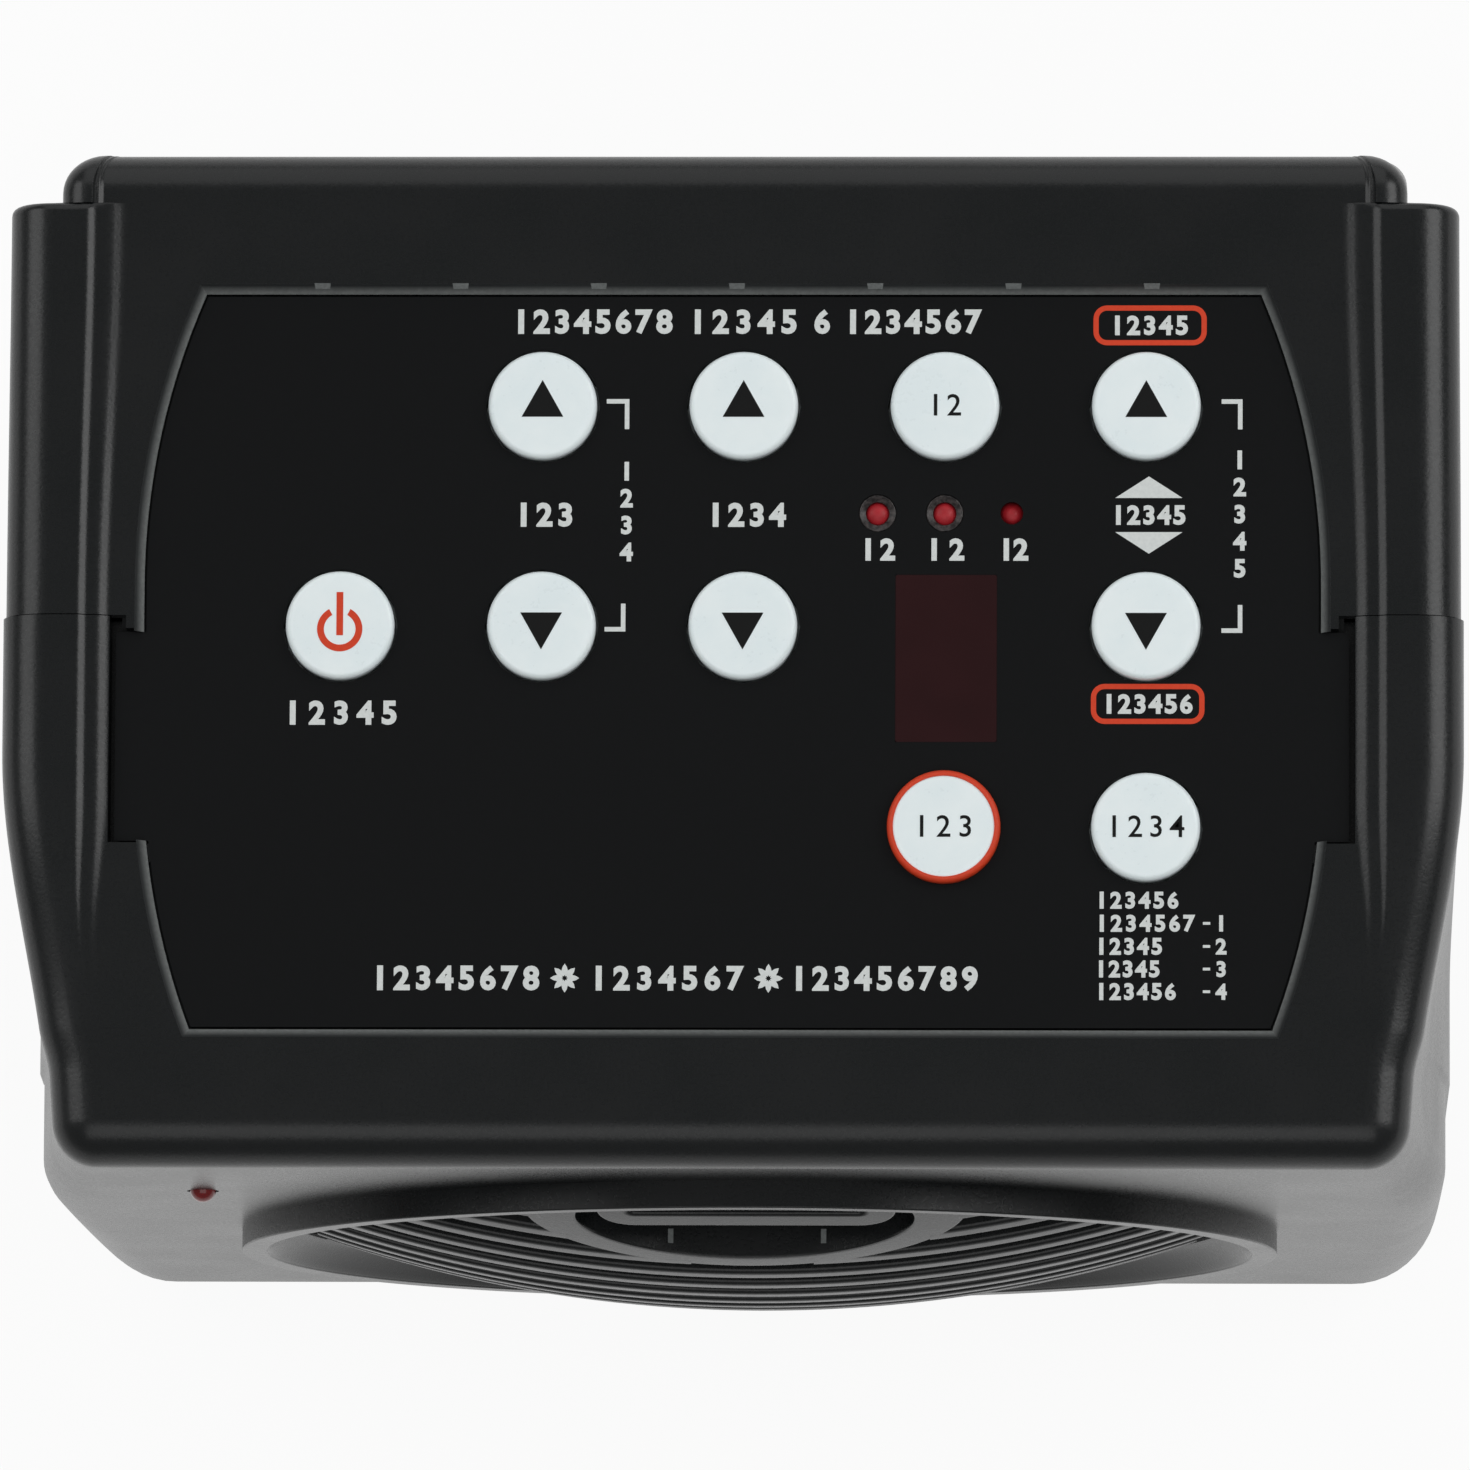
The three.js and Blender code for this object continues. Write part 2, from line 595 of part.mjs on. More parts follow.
const speakerScrewReach = (COLLAR_RADIUS - SPEAKER_SCREW_INSET) / Math.SQRT2;
const speakerHalf = speakerScrewReach + SPEAKER_FLANGE_MARGIN;
const basketRadius = speakerHalf - BASKET_MARGIN;
const speakerOpeningRadius = basketRadius - BASKET_MARGIN;
const sideRoom = halfCase - WALL - speakerHalf; // between the speaker's flange and the side wall
const lampX = -speakerHalf - sideRoom * lampSideShare;
const lampZ = topZ - POWER_LED_DROP;
const casePostX = speakerHalf + sideRoom / 2;
const casePosts = [1, -1].flatMap((side) =>
  [topZ - CASE_POST_TOP_DROP, baseZ + CASE_POST_LIFT].map((z) => ({ x: side * casePostX, z })),
);
const speakerPosts = [1, -1].flatMap((side) =>
  [1, -1].map((up) => ({ x: side * speakerScrewReach, z: speakerZ + up * speakerScrewReach })),
);
const grilleBack = -WALL - FIT_GAP - GRILLE_FLANGE_THICKNESS;
const speakerFace = grilleBack - FIT_GAP;
const pilotDiameter = SCREW_SHANK_DIAMETER + 2 * FIT_GAP;

function frontShell() {
  const partY = partingY - FIT_GAP / 2;
  const skin = frontSkin(0, partY);
  const lip = COLLAR_RADIUS - COLLAR_LIP;
  const collar = turnedForward(
    [
      [COLLAR_RADIUS + COLLAR_FILLET, -WALL],
      [COLLAR_RADIUS + COLLAR_FILLET, 0],
      [COLLAR_RADIUS + COLLAR_FILLET * filletShare, COLLAR_FILLET * filletShare],
      [COLLAR_RADIUS, COLLAR_FILLET],
      [COLLAR_RADIUS - COLLAR_LIP * lipEdgeShare, COLLAR_PROUD],
      [lip, COLLAR_PROUD],
      [lip - TROUGH_WIDTH * troughWidthShare, rimForward + GRILLE_RECESS * troughDepthShare],
      [grilleRadius + FIT_GAP, rimForward],
      [grilleRadius + FIT_GAP, -WALL],
      [COLLAR_RADIUS + COLLAR_FILLET, -WALL],
    ],
    0, speakerZ, FINE_SIDES,
  );
  const throat = spindle(0, speakerZ, frontY - OVERRUN, frontY + WALL + OVERRUN, 2 * lip, FINE_SIDES);
  const backY = frontY + WALL / 2;
  const posts = casePosts.map(({ x, z }) => spindle(x, z, backY, partY + 2 * OVERRUN, CASE_POST_DIAMETER));
  const faceY = frontY - speakerFace;
  const speakerSeats = speakerPosts.map(({ x, z }) => spindle(x, z, backY, faceY, SPEAKER_POST_DIAMETER));
  const pilots = casePosts.map(({ x, z }) =>
    spindle(x, z, partY + CASE_SCREW_SEAT - CASE_SCREW_LENGTH - OVERRUN, partY + OVERRUN, pilotDiameter),
  );
  const speakerPilotY = faceY + SPEAKER_FLANGE_THICKNESS - SPEAKER_SCREW_LENGTH - FIT_GAP;
  const speakerPilots = speakerPosts.map(({ x, z }) =>
    spindle(x, z, speakerPilotY, faceY + OVERRUN, pilotDiameter),
  );
  const slots = mirrorX((side) => {
    const xs = sorted(side * (halfCase - PANEL_MARGIN - PANEL_CHAMFER), side * (halfCase - SLOT_MARGIN));
    return block(xs, [panelY - SLOT_FRONT, partY + OVERRUN], [railTopZ, topZ + OVERRUN]);
  });
  const slotWalls = mirrorX((side) => {
    const xs = sorted(side * (halfCase - SLOT_MARGIN), side * (halfCase - SLOT_MARGIN + SLOT_WALL));
    return block(xs, [panelY - SLOT_FRONT, partY + 2 * OVERRUN], [railBottomZ + FIT_GAP, topZ]);
  });
  const lampSeatY = frontY - POWER_LED_PROUD + LED_BODY_HEIGHT - LED_FLANGE_THICKNESS - FIT_GAP;
  const lampSleeve = spindle(lampX, lampZ, backY, lampSeatY, LED_FLANGE_DIAMETER + 2 * WALL, ROUND_SIDES);
  const lampBore = LED_DIAMETER + 2 * FIT_GAP;
  const lampHole = spindle(lampX, lampZ, frontY - OVERRUN, lampSeatY + OVERRUN, lampBore, ROUND_SIDES);
  const frontRails = rails(frontY, partY + 2 * OVERRUN);
  const inside = [...posts, ...speakerSeats, ...slotWalls, lampSleeve, ...frontRails];
  const hollow = cut(frontSkin(WALL, partY + OVERRUN), ...inside);
  const shell = join(cut(skin, hollow, openingCut(), throat), collar);
  return cut(shell, ...slots, ...pilots, ...speakerPilots, lampHole);
}

// The battery bay hangs from the rear shell's base, and its door closes it from below.
const contactDepth = CONTACT_THICKNESS + CONTACT_SPRING_HEIGHT;
const bayLength = 2 * (CELL_LENGTH + CELL_NUB_HEIGHT + contactDepth) + BAY_PLAY;
const bayWidth = CELLS_ABREAST * CELL_DIAMETER + (CELLS_ABREAST + 1) * CELL_GAP;
const bayHalf = bayLength / 2;
const bayRear = rearY - WALL - FIT_GAP;
const bayFront = bayRear - bayWidth;
const cellZ = baseZ + BASE_THICKNESS + CELL_DIAMETER / 2;
const bayTopZ = cellZ + CELL_DIAMETER / 2 + CELL_GAP;
const doorTopZ = baseZ + DOOR_THICKNESS + DOOR_TONGUE_THICKNESS;
const doorHalf = bayHalf - DOOR_TONGUE;

// The door's section: a plate flush with the base, with a runner along each edge above it.
function doorSection(grow) {
  const [edge, runner] = [doorHalf + grow, doorHalf + DOOR_TONGUE + grow];
  const step = baseZ + DOOR_THICKNESS - grow;
  const top = doorTopZ + grow;
  const right = [[edge, baseZ - (grow ? OVERRUN : 0)], [edge, step], [runner, step], [runner, top]];
  return [...right, ...right.map(([x, z]) => [-x, z]).reverse()];
}

const socketXs = { power: -SOCKET_SPACING / 2, line: SOCKET_SPACING / 2 };
const boardY = rearY - WALL - MAIN_BOARD_STANDOFF;
const boardStakes = [1, -1].flatMap((side) =>
  [1, -1].map((up) => ({
    x: side * (MAIN_BOARD_WIDTH / 2 - STAKE_INSET),
    z: mainBoardBottom + MAIN_BOARD_HEIGHT / 2 + up * (MAIN_BOARD_HEIGHT / 2 - STAKE_INSET),
  })),
);

function rearShell() {
  const partY = partingY + FIT_GAP / 2;
  const skin = rearSkin(0, partY);
  const wallY = rearY - WALL / 2;
  const posts = casePosts.map(({ x, z }) => spindle(x, z, partY - 2 * OVERRUN, wallY, CASE_POST_DIAMETER));
  const wells = casePosts.map(({ x, z }) =>
    spindle(x, z, partY + CASE_SCREW_SEAT, rearY + OVERRUN, SCREW_HEAD_DIAMETER + 2 * FIT_GAP),
  );
  const seatY = partY + CASE_SCREW_SEAT;
  const holes = casePosts.map(({ x, z }) => spindle(x, z, partY - OVERRUN, seatY + OVERRUN, pilotDiameter));
  const floorFront = bayFront - BAY_WALL;
  const boxHalf = bayHalf + BAY_WALL;
  const floorHalf = boxHalf + WALL;
  const floor = block([-floorHalf, floorHalf], [floorFront, rearY], [0, baseZ + BASE_THICKNESS]);
  const bayBox = block([-boxHalf, boxHalf], [floorFront, rearY], [0, bayTopZ + BAY_WALL]);
  const bay = block([-bayHalf, bayHalf], [bayFront, bayRear], [doorTopZ, bayTopZ]);
  const doorway = beam(doorSection(FIT_GAP), bayFront - FIT_GAP, rearY + OVERRUN);
  const headY = boardY - BOARD_THICKNESS - FIT_GAP;
  const headTipY = headY - STAKE_HEAD_THICKNESS;
  const stakes = boardStakes.flatMap(({ x, z }) => [
    spindle(x, z, boardY, wallY, STAKE_DIAMETER),
    spindle(x, z, headTipY, boardY + FIT_GAP, STAKE_PIN_DIAMETER),
    spindle(x, z, headTipY, headY, STAKE_HEAD_DIAMETER),
  ]);
  const powerHole = spindle(
    socketXs.power, socketZ, rearY - WALL - OVERRUN, rearY + OVERRUN,
    POWER_SOCKET_BORE + 2 * SOCKET_NOSE_MARGIN + 2 * FIT_GAP, ROUND_SIDES,
  );
  const lineHole = spindle(
    socketXs.line, socketZ, rearY - WALL - OVERRUN, rearY + OVERRUN,
    LINE_SOCKET_BORE + 2 * SOCKET_NOSE_MARGIN + 2 * FIT_GAP, ROUND_SIDES,
  );
  const tongues = mirrorX((side) => {
    const xs = sorted(
      side * (halfCase - FRAME_EDGE_OFFSET - PANEL_CHAMFER),
      side * (halfCase - TONGUE_MARGIN),
    );
    return block(xs, [panelY + TAB_REAR + FIT_GAP, partY + OVERRUN], [innerTopZ, topZ]);
  });
  const inside = [...posts, ...stakes, floor, bayBox, ...rails(partY - 2 * OVERRUN, rearY - WALL)];
  const hollow = cut(rearSkin(WALL, partY - OVERRUN), ...inside);
  const shell = cut(join(cut(skin, hollow), ...tongues), openingCut());
  return cut(shell, bay, doorway, ...wells, ...holes, powerHole, lineHole);
}

// The control plate: a raised pad that fills the opening and a flange that is held under the frame.
const keyPlaces = [
  ["key_volume_up", 1, KEY_ROW_REAR],
  ["key_tone_up", 2, KEY_ROW_REAR],
  ["key_string", 3, KEY_ROW_REAR],
  ["key_pitch_up", 4, KEY_ROW_REAR],
  ["key_power", 0, KEY_ROW_MIDDLE],
  ["key_volume_down", 1, KEY_ROW_MIDDLE],
  ["key_tone_down", 2, KEY_ROW_MIDDLE],
  ["key_pitch_down", 4, KEY_ROW_MIDDLE],
  ["key_memory", 3, KEY_ROW_FRONT],
  ["key_mode", 4, KEY_ROW_FRONT],
].map(([name, column, row]) => ({
  name,
  x: KEY_CENTRE_OFFSET + (column - 2) * keyPitch,
  y: panelY + row,
}));
const displayX = KEY_CENTRE_OFFSET + keyPitch;
const displayY = panelY + DISPLAY_CENTRE;
const stringLeds = [
  ["string_led_left", -1, LED_HOLE_DIAMETER],
  ["string_led_middle", 0, LED_HOLE_DIAMETER],
  ["string_led_right", 1, LED_SMALL_HOLE_DIAMETER],
].map(([name, step, hole]) => ({
  name,
  x: displayX + step * STRING_LED_PITCH,
  y: panelY + STRING_LED_ROW,
  hole,
}));
const keyBoardMiddle = (KEY_BOARD_REAR - KEY_BOARD_FRONT) / 2;
const stakeBore = STAKE_PIN_DIAMETER + 2 * FIT_GAP;
const plateStakes = [1, -1].flatMap((side) => [
  { x: side * (keyBoardWidth / 2 - STAKE_INSET), y: panelY + KEY_BOARD_REAR - STAKE_INSET },
  { x: side * (keyBoardWidth / 2 - STAKE_INSET), y: panelY - KEY_BOARD_FRONT + STAKE_INSET },
]);

const keyBore = KEY_DIAMETER + 2 * FIT_GAP;

function controlPlate() {
  const length = PANEL_REAR + PANEL_FRONT + 2 * FLANGE_OVERLAP;
  const middleY = panelY + (PANEL_REAR - PANEL_FRONT) / 2;
  const width = 2 * (halfCase - TAB_MARGIN);
  const flange = prism(rectangle(0, middleY, width, length), flangeBottomZ, flangeTopZ);
  const pad = prism(panelOutline(-FIT_GAP, true), flangeBottomZ, plateTopZ);
  const stakes = plateStakes.flatMap(({ x, y }) => [
    bar(x, y, boardTopZ, flangeBottomZ + FIT_GAP, STAKE_DIAMETER),
    bar(x, y, boardBottomZ - FIT_GAP - STAKE_HEAD_THICKNESS, boardTopZ + FIT_GAP, STAKE_PIN_DIAMETER),
    bar(x, y, boardBottomZ - FIT_GAP - STAKE_HEAD_THICKNESS, boardBottomZ - FIT_GAP, STAKE_HEAD_DIAMETER),
  ]);
  const through = [flangeBottomZ - OVERRUN, plateTopZ + OVERRUN];
  const keyHoles = keyPlaces.map(({ x, y }) => bar(x, y, ...through, keyBore, KEY_SIDES));
  const ledHoles = stringLeds.map(({ x, y }) => bar(x, y, ...through, LED_HOLE_DIAMETER, LAMP_SIDES));
  const windowHole = prism(rectangle(displayX, displayY, DISPLAY_WIDTH, DISPLAY_LENGTH), ...through);
  return cut(join(flange, pad, ...stakes), ...keyHoles, ...ledHoles, windowHole);
}

function panelLabel() {
  const sheet = prism(panelOutline(-FIT_GAP, true), plateTopZ, labelTopZ);
  const through = [plateTopZ - OVERRUN, labelTopZ + OVERRUN];
  const keyHoles = keyPlaces.map(({ x, y }) => bar(x, y, ...through, keyBore, KEY_SIDES));
  const ledHoles = stringLeds.map(({ x, y, hole }) => bar(x, y, ...through, hole, LAMP_SIDES));
  const windowHole = prism(rectangle(displayX, displayY, DISPLAY_WIDTH, DISPLAY_LENGTH), ...through);
  return cut(sheet, ...keyHoles, ...ledHoles, windowHole);
}

// A key: a disc with a rounded edge, a flange that keeps it in, and a stem that enters its switch.
function keyCap({ x, y }) {
  const topOfKey = labelTopZ + KEY_PROUD;
  const radius = KEY_DIAMETER / 2;
  const corner = quarterTurns(1).map((a) => [
    radius - KEY_EDGE_RADIUS * (1 - Math.sin(a)),
    topOfKey - KEY_EDGE_RADIUS * (1 - Math.cos(a)),
  ]);
  return turned(
    [
      [0, topOfKey],
      ...corner,
      [radius, keyFlangeTopZ],
      [radius + KEY_FLANGE, keyFlangeTopZ],
      [radius + KEY_FLANGE, keyFlangeBottomZ],
      [KEY_STEM_DIAMETER / 2, keyFlangeBottomZ],
      [KEY_STEM_DIAMETER / 2, switchTopZ - STEM_ENTRY],
      [0, switchTopZ - STEM_ENTRY],
    ],
    x, y, KEY_SIDES,
  );
}

// A lamp: a domed body on a flange, with two legs. It points up from z, the top of its dome.
function led(x, y, tip, footZ) {
  const radius = LED_DIAMETER / 2;
  const flangeZ = tip - LED_BODY_HEIGHT + LED_FLANGE_THICKNESS;
  const dome = quarterTurns(3).map((a) => [radius * Math.sin(a), tip - radius * (1 - Math.cos(a))]);
  const body = turned(
    [
      ...dome,
      [radius, flangeZ],
      [LED_FLANGE_DIAMETER / 2, flangeZ],
      [LED_FLANGE_DIAMETER / 2, flangeZ - LED_FLANGE_THICKNESS],
      [0, flangeZ - LED_FLANGE_THICKNESS],
    ],
    x, y, LAMP_SIDES,
  );
  const legs = mirrorX((side) => {
    const middle = x + (side * LED_LEG_PITCH) / 2;
    const legTopZ = flangeZ - LED_FLANGE_THICKNESS / 2;
    return prism(rectangle(middle, y, LED_LEG, LED_LEG), footZ, legTopZ);
  });
  return join(body, ...legs);
}

function displayWindow() {
  const gap = 2 * FIT_GAP;
  const top = labelTopZ - WINDOW_SINK;
  const lipTopZ = flangeBottomZ - FIT_GAP;
  const backZ = lipTopZ - WINDOW_THICKNESS / 2;
  const lens = prism(rectangle(displayX, displayY, DISPLAY_WIDTH - gap, DISPLAY_LENGTH - gap), backZ, top);
  const lipWidth = DISPLAY_WIDTH + 2 * WINDOW_LIP;
  const lipLength = DISPLAY_LENGTH + 2 * WINDOW_LIP;
  const lip = prism(rectangle(displayX, displayY, lipWidth, lipLength), backZ, lipTopZ);
  return join(lens, lip);
}

function displayModule() {
  const margin = 2 * DISPLAY_MODULE_MARGIN;
  const top = flangeBottomZ - 2 * FIT_GAP - WINDOW_THICKNESS / 2;
  const outline = rectangle(displayX, displayY, DISPLAY_WIDTH + margin, DISPLAY_LENGTH + margin);
  return prism(outline, boardTopZ, top);
}

// The key board carries one square switch under each key, each with a round well for the key's stem.
function keyBoard() {
  const sheet = prism(
    rectangle(0, panelY + keyBoardMiddle, keyBoardWidth, KEY_BOARD_REAR + KEY_BOARD_FRONT),
    boardBottomZ, boardTopZ,
  );
  const switches = keyPlaces.map(({ x, y }) =>
    prism(rectangle(x, y, SWITCH_WIDTH, SWITCH_WIDTH), boardTopZ - FIT_GAP, switchTopZ),
  );
  const wellFloor = switchTopZ - STEM_ENTRY - KEY_TRAVEL - FIT_GAP;
  const wellBore = KEY_STEM_DIAMETER + 2 * FIT_GAP;
  const wells = keyPlaces.map(({ x, y }) => bar(x, y, wellFloor, switchTopZ + OVERRUN, wellBore));
  const through = [boardBottomZ - OVERRUN, boardTopZ + OVERRUN];
  const holes = plateStakes.map(({ x, y }) => bar(x, y, ...through, stakeBore));
  return cut(join(sheet, ...switches), ...wells, ...holes);
}

// The main board stands before the rear wall, and carries a chip, a finned heat sink and capacitors.
function mainBoard() {
  const front = boardY - BOARD_THICKNESS;
  const half = MAIN_BOARD_WIDTH / 2;
  const middleZ = mainBoardBottom + MAIN_BOARD_HEIGHT / 2;
  const sheet = block([-half, half], [front, boardY], [mainBoardBottom, mainBoardTop]);
  const chipYs = [front - CHIP_THICKNESS, front + FIT_GAP];
  const chipZs = [middleZ - CHIP_WIDTH / 2, middleZ + CHIP_WIDTH / 2];
  const chipAt = (x) => block([x - CHIP_WIDTH / 2, x + CHIP_WIDTH / 2], chipYs, chipZs);
  const sinkX = half / 2;
  const finYs = [front - FIN_DEPTH, front - FIT_GAP];
  const finZs = [chipZs[0] + FIT_GAP, chipZs[1] - FIT_GAP];
  const finReach = CHIP_WIDTH / 2 - FIT_GAP;
  const fins = spread(-finReach, finReach - FIN_THICKNESS, 4).map((dx) =>
    block([sinkX + dx, sinkX + dx + FIN_THICKNESS], finYs, finZs),
  );
  const cans = [-1, 0, 1].map((step) => {
    const x = step * CAPACITOR_PITCH - sinkX;
    return spindle(x, middleZ, front - CAPACITOR_HEIGHT, front + FIT_GAP, CAPACITOR_DIAMETER);
  });
  const through = [front - OVERRUN, boardY + OVERRUN];
  const holes = boardStakes.map(({ x, z }) => spindle(x, z, ...through, stakeBore));
  return cut(join(sheet, chipAt(0), chipAt(sinkX), ...fins, ...cans), ...holes);
}

// A socket soldered to the main board: a square body, and a round nose that fills the rear wall's hole.
function socket(x, width, height, bore, pin) {
  const bodyEnd = rearY - WALL - FIT_GAP;
  const zs = [socketZ - height / 2, socketZ + height / 2];
  const body = block([x - width / 2, x + width / 2], [boardY + FIT_GAP, bodyEnd], zs);
  const noseEnd = rearY - WALL + SOCKET_NOSE;
  const nose = spindle(x, socketZ, bodyEnd - FIT_GAP, noseEnd, bore + 2 * SOCKET_NOSE_MARGIN, ROUND_SIDES);
  const boreEnd = rearY - SOCKET_BORE_DEPTH;
  const hole = spindle(x, socketZ, boreEnd, rearY + OVERRUN, bore, ROUND_SIDES);
  const hollow = cut(join(body, nose), hole);
  if (!pin) return hollow;
  return join(hollow, spindle(x, socketZ, boreEnd - FIT_GAP, boreEnd + POWER_SOCKET_PIN_LENGTH, pin));
}

// The grille: level slats that follow a sphere, tied at their ends to a round rim and behind by one
// stiffener. A slat is carried from end to end as a four-cornered section.
function slat(height, halfLength) {
  const rings = spread(-halfLength, halfLength, SLAT_STEPS).map((x) => {
    const corners = [
      [height - SLAT_THICKNESS / 2, 0],
      [height + SLAT_THICKNESS / 2, 0],
      [height + SLAT_THICKNESS / 2, SLAT_DEPTH],
      [height - SLAT_THICKNESS / 2, SLAT_DEPTH],
    ];
    const surface = (u) => frontY - domeForward(Math.hypot(x, u));
    return corners.map(([u, back]) => [x, surface(u) + back, speakerZ + u]);
  });
  return loft(rings);
}

function stiffener(halfLength) {
  const rings = spread(-halfLength, halfLength, SLAT_STEPS).map((u) => {
    const surface = frontY - domeForward(Math.abs(u)) + SLAT_DEPTH - FIT_GAP;
    const corners = [[-1, 0], [1, 0], [1, STIFFENER_DEPTH], [-1, STIFFENER_DEPTH]];
    return corners.map(([side, back]) => [(side * STIFFENER_WIDTH) / 2, surface + back, speakerZ + u]);
  });
  return loft(rings);
}

const ellipse = (z, halfWidth, halfHeight) =>
  spread(0, Math.PI * 2, ROUND_SIDES)
    .slice(1)
    .map((a) => [halfWidth * Math.cos(a), z + halfHeight * Math.sin(a)]);

function speakerGrille() {
  const inner = grilleRadius - GRILLE_RIM;
  const rim = turnedForward(
    [
      [inner, grilleBack],
      [inner, domeForward(inner)],
      [grilleRadius, rimForward],
      [grilleRadius, -WALL - FIT_GAP],
      [grilleRadius + GRILLE_FLANGE, -WALL - FIT_GAP],
      [grilleRadius + GRILLE_FLANGE, grilleBack],
      [inner, grilleBack],
    ],
    0, speakerZ, FINE_SIDES,
  );
  const reach = grilleRadius - GRILLE_RIM / 2;
  const count = Math.floor(reach / SLAT_PITCH);
  const heights = spread(-count, count, 2 * count).map((k) => SLAT_OFFSET + k * SLAT_PITCH);
  const whole = heights.filter((u) => Math.abs(u) + SLAT_THICKNESS / 2 < reach);
  const chord = (u) => Math.sqrt(reach ** 2 - (Math.abs(u) + SLAT_THICKNESS / 2) ** 2);
  const slats = whole.map((u) => slat(u, chord(u)));
  const badgeZ = speakerZ + BADGE_HEIGHT;
  const outer = ellipse(badgeZ, BADGE_HALF_WIDTH, BADGE_HALF_HEIGHT);
  const innerHalf = BADGE_HALF_WIDTH - BADGE_RIM_SIDE;
  const innerEdge = ellipse(badgeZ, innerHalf, BADGE_HALF_HEIGHT - BADGE_RIM_BASE);
  const back = frontY - grilleBack;
  const ahead = frontY - domeForward(0) - OVERRUN;
  const arcTo = (offset) => spread(0, grilleRadius - FIT_GAP, 4).map((r) => [r, domeForward(r) - offset]);
  const layer = (offset, thickness) =>
    turnedForward([...arcTo(offset), ...arcTo(offset + thickness).reverse()], 0, speakerZ, ROUND_SIDES);
  const insideSeat = beam(innerEdge, ahead - OVERRUN, back + OVERRUN);
  const seatDepth = BADGE_FLOOR_DEPTH + BADGE_FLOOR_THICKNESS;
  const seatRing = cut(beam(outer, ahead, back), insideSeat).intersect(layer(0, seatDepth));
  const floorLayer = layer(BADGE_FLOOR_DEPTH, BADGE_FLOOR_THICKNESS);
  const seatFloor = beam(outer, ahead, back + OVERRUN).intersect(floorLayer);
  const clearSlats = cut(join(...slats), insideSeat);
  const crossing = whole
    .filter((u) => Math.abs(u - BADGE_HEIGHT) < SLAT_PITCH / 2)
    .map((u) => slat(u, innerHalf + BADGE_RIM_SIDE / 2));
  const notchBore = SPEAKER_POST_DIAMETER + 2 * FIT_GAP;
  const notches = speakerPosts.map(({ x, z }) => spindle(x, z, frontY, back + OVERRUN, notchBore));
  const behind = spindle(0, speakerZ, back, back + SLAT_DEPTH + STIFFENER_DEPTH, 2 * COLLAR_RADIUS);
  return cut(join(rim, clearSlats, stiffener(reach), seatRing, seatFloor, ...crossing), behind, ...notches);
}

// The loudspeaker: a pressed frame with a square flange, a paper cone with a rolled edge, a dust cap
// and a magnet.
function speakerFrame() {
  const half = speakerHalf;
  const corner = half - SPEAKER_CORNER_RADIUS;
  const outline = [[1, 1], [-1, 1], [-1, -1], [1, -1]].flatMap(([sx, sz], i) =>
    spread((i * Math.PI) / 2, ((i + 1) * Math.PI) / 2, 3).map((a) => [
      sx * corner + SPEAKER_CORNER_RADIUS * Math.cos(a),
      speakerZ + sz * corner + SPEAKER_CORNER_RADIUS * Math.sin(a),
    ]),
  );
  const faceY = frontY - speakerFace;
  const flange = beam(outline, faceY, faceY + SPEAKER_FLANGE_THICKNESS);
  const through = [faceY - OVERRUN, faceY + SPEAKER_FLANGE_THICKNESS + OVERRUN];
  const opening = spindle(0, speakerZ, ...through, 2 * speakerOpeningRadius, BASKET_SIDES);
  const rear = speakerFace - BASKET_DEPTH;
  const basket = turnedForward(
    [
      [basketRadius - BASKET_METAL, speakerFace - SPEAKER_FLANGE_THICKNESS / 2],
      [basketRadius, speakerFace - SPEAKER_FLANGE_THICKNESS / 2],
      [basketRadius, speakerFace - BASKET_NECK],
      [BASKET_FLOOR_RADIUS, rear],
      [VOICE_COIL_RADIUS + FIT_GAP, rear],
      [VOICE_COIL_RADIUS + FIT_GAP, rear + BASKET_METAL],
      [BASKET_FLOOR_RADIUS - BASKET_METAL, rear + BASKET_METAL],
      [basketRadius - BASKET_METAL, speakerFace - BASKET_NECK + BASKET_METAL / 2],
      [basketRadius - BASKET_METAL, speakerFace - SPEAKER_FLANGE_THICKNESS / 2],
    ],
    0, speakerZ, BASKET_SIDES,
  );
  const windowHalf = BASKET_WINDOW_WIDTH / 2;
  const windowYs = [faceY + BASKET_WINDOW_START, frontY - rear - 2 * BASKET_METAL];
  const windows = [
    block([-windowHalf, windowHalf], windowYs, [speakerZ - half, speakerZ + half]),
    block([-half, half], windowYs, [speakerZ - windowHalf, speakerZ + windowHalf]),
  ];
  const holes = speakerPosts.map(({ x, z }) => spindle(x, z, ...through, pilotDiameter));
  return cut(join(cut(flange, opening), basket), ...windows, ...holes);
}

function speakerCone() {
  const seat = speakerFace - BASKET_NECK - BASKET_METAL;
  const edge = basketRadius - BASKET_METAL - FIT_GAP;
  const rollMiddle = edge - SURROUND_SEAT - SURROUND_ROLL;
  const rollSeat = seat + CONE_THICKNESS;
  const rollTurns = spread(0, Math.PI, 3);
  const roll = (r) => rollTurns.map((a) => [rollMiddle + r * Math.cos(a), rollSeat + r * Math.sin(a)]);
  const coneEdge = rollMiddle - SURROUND_ROLL;
  const neck = seat - CONE_DEPTH;
  return turnedForward(
    [
      [edge - SURROUND_SEAT, seat],
      [edge - SURROUND_SEAT / 2, seat + CONE_THICKNESS],
      ...roll(SURROUND_ROLL),
      [VOICE_COIL_RADIUS, neck + CONE_THICKNESS],
      [VOICE_COIL_RADIUS - CONE_THICKNESS, neck],
      [coneEdge, seat],
      ...roll(SURROUND_ROLL - CONE_THICKNESS).reverse(),
      [edge - SURROUND_SEAT, seat],
    ],
    0, speakerZ, ROUND_SIDES,
  );
}

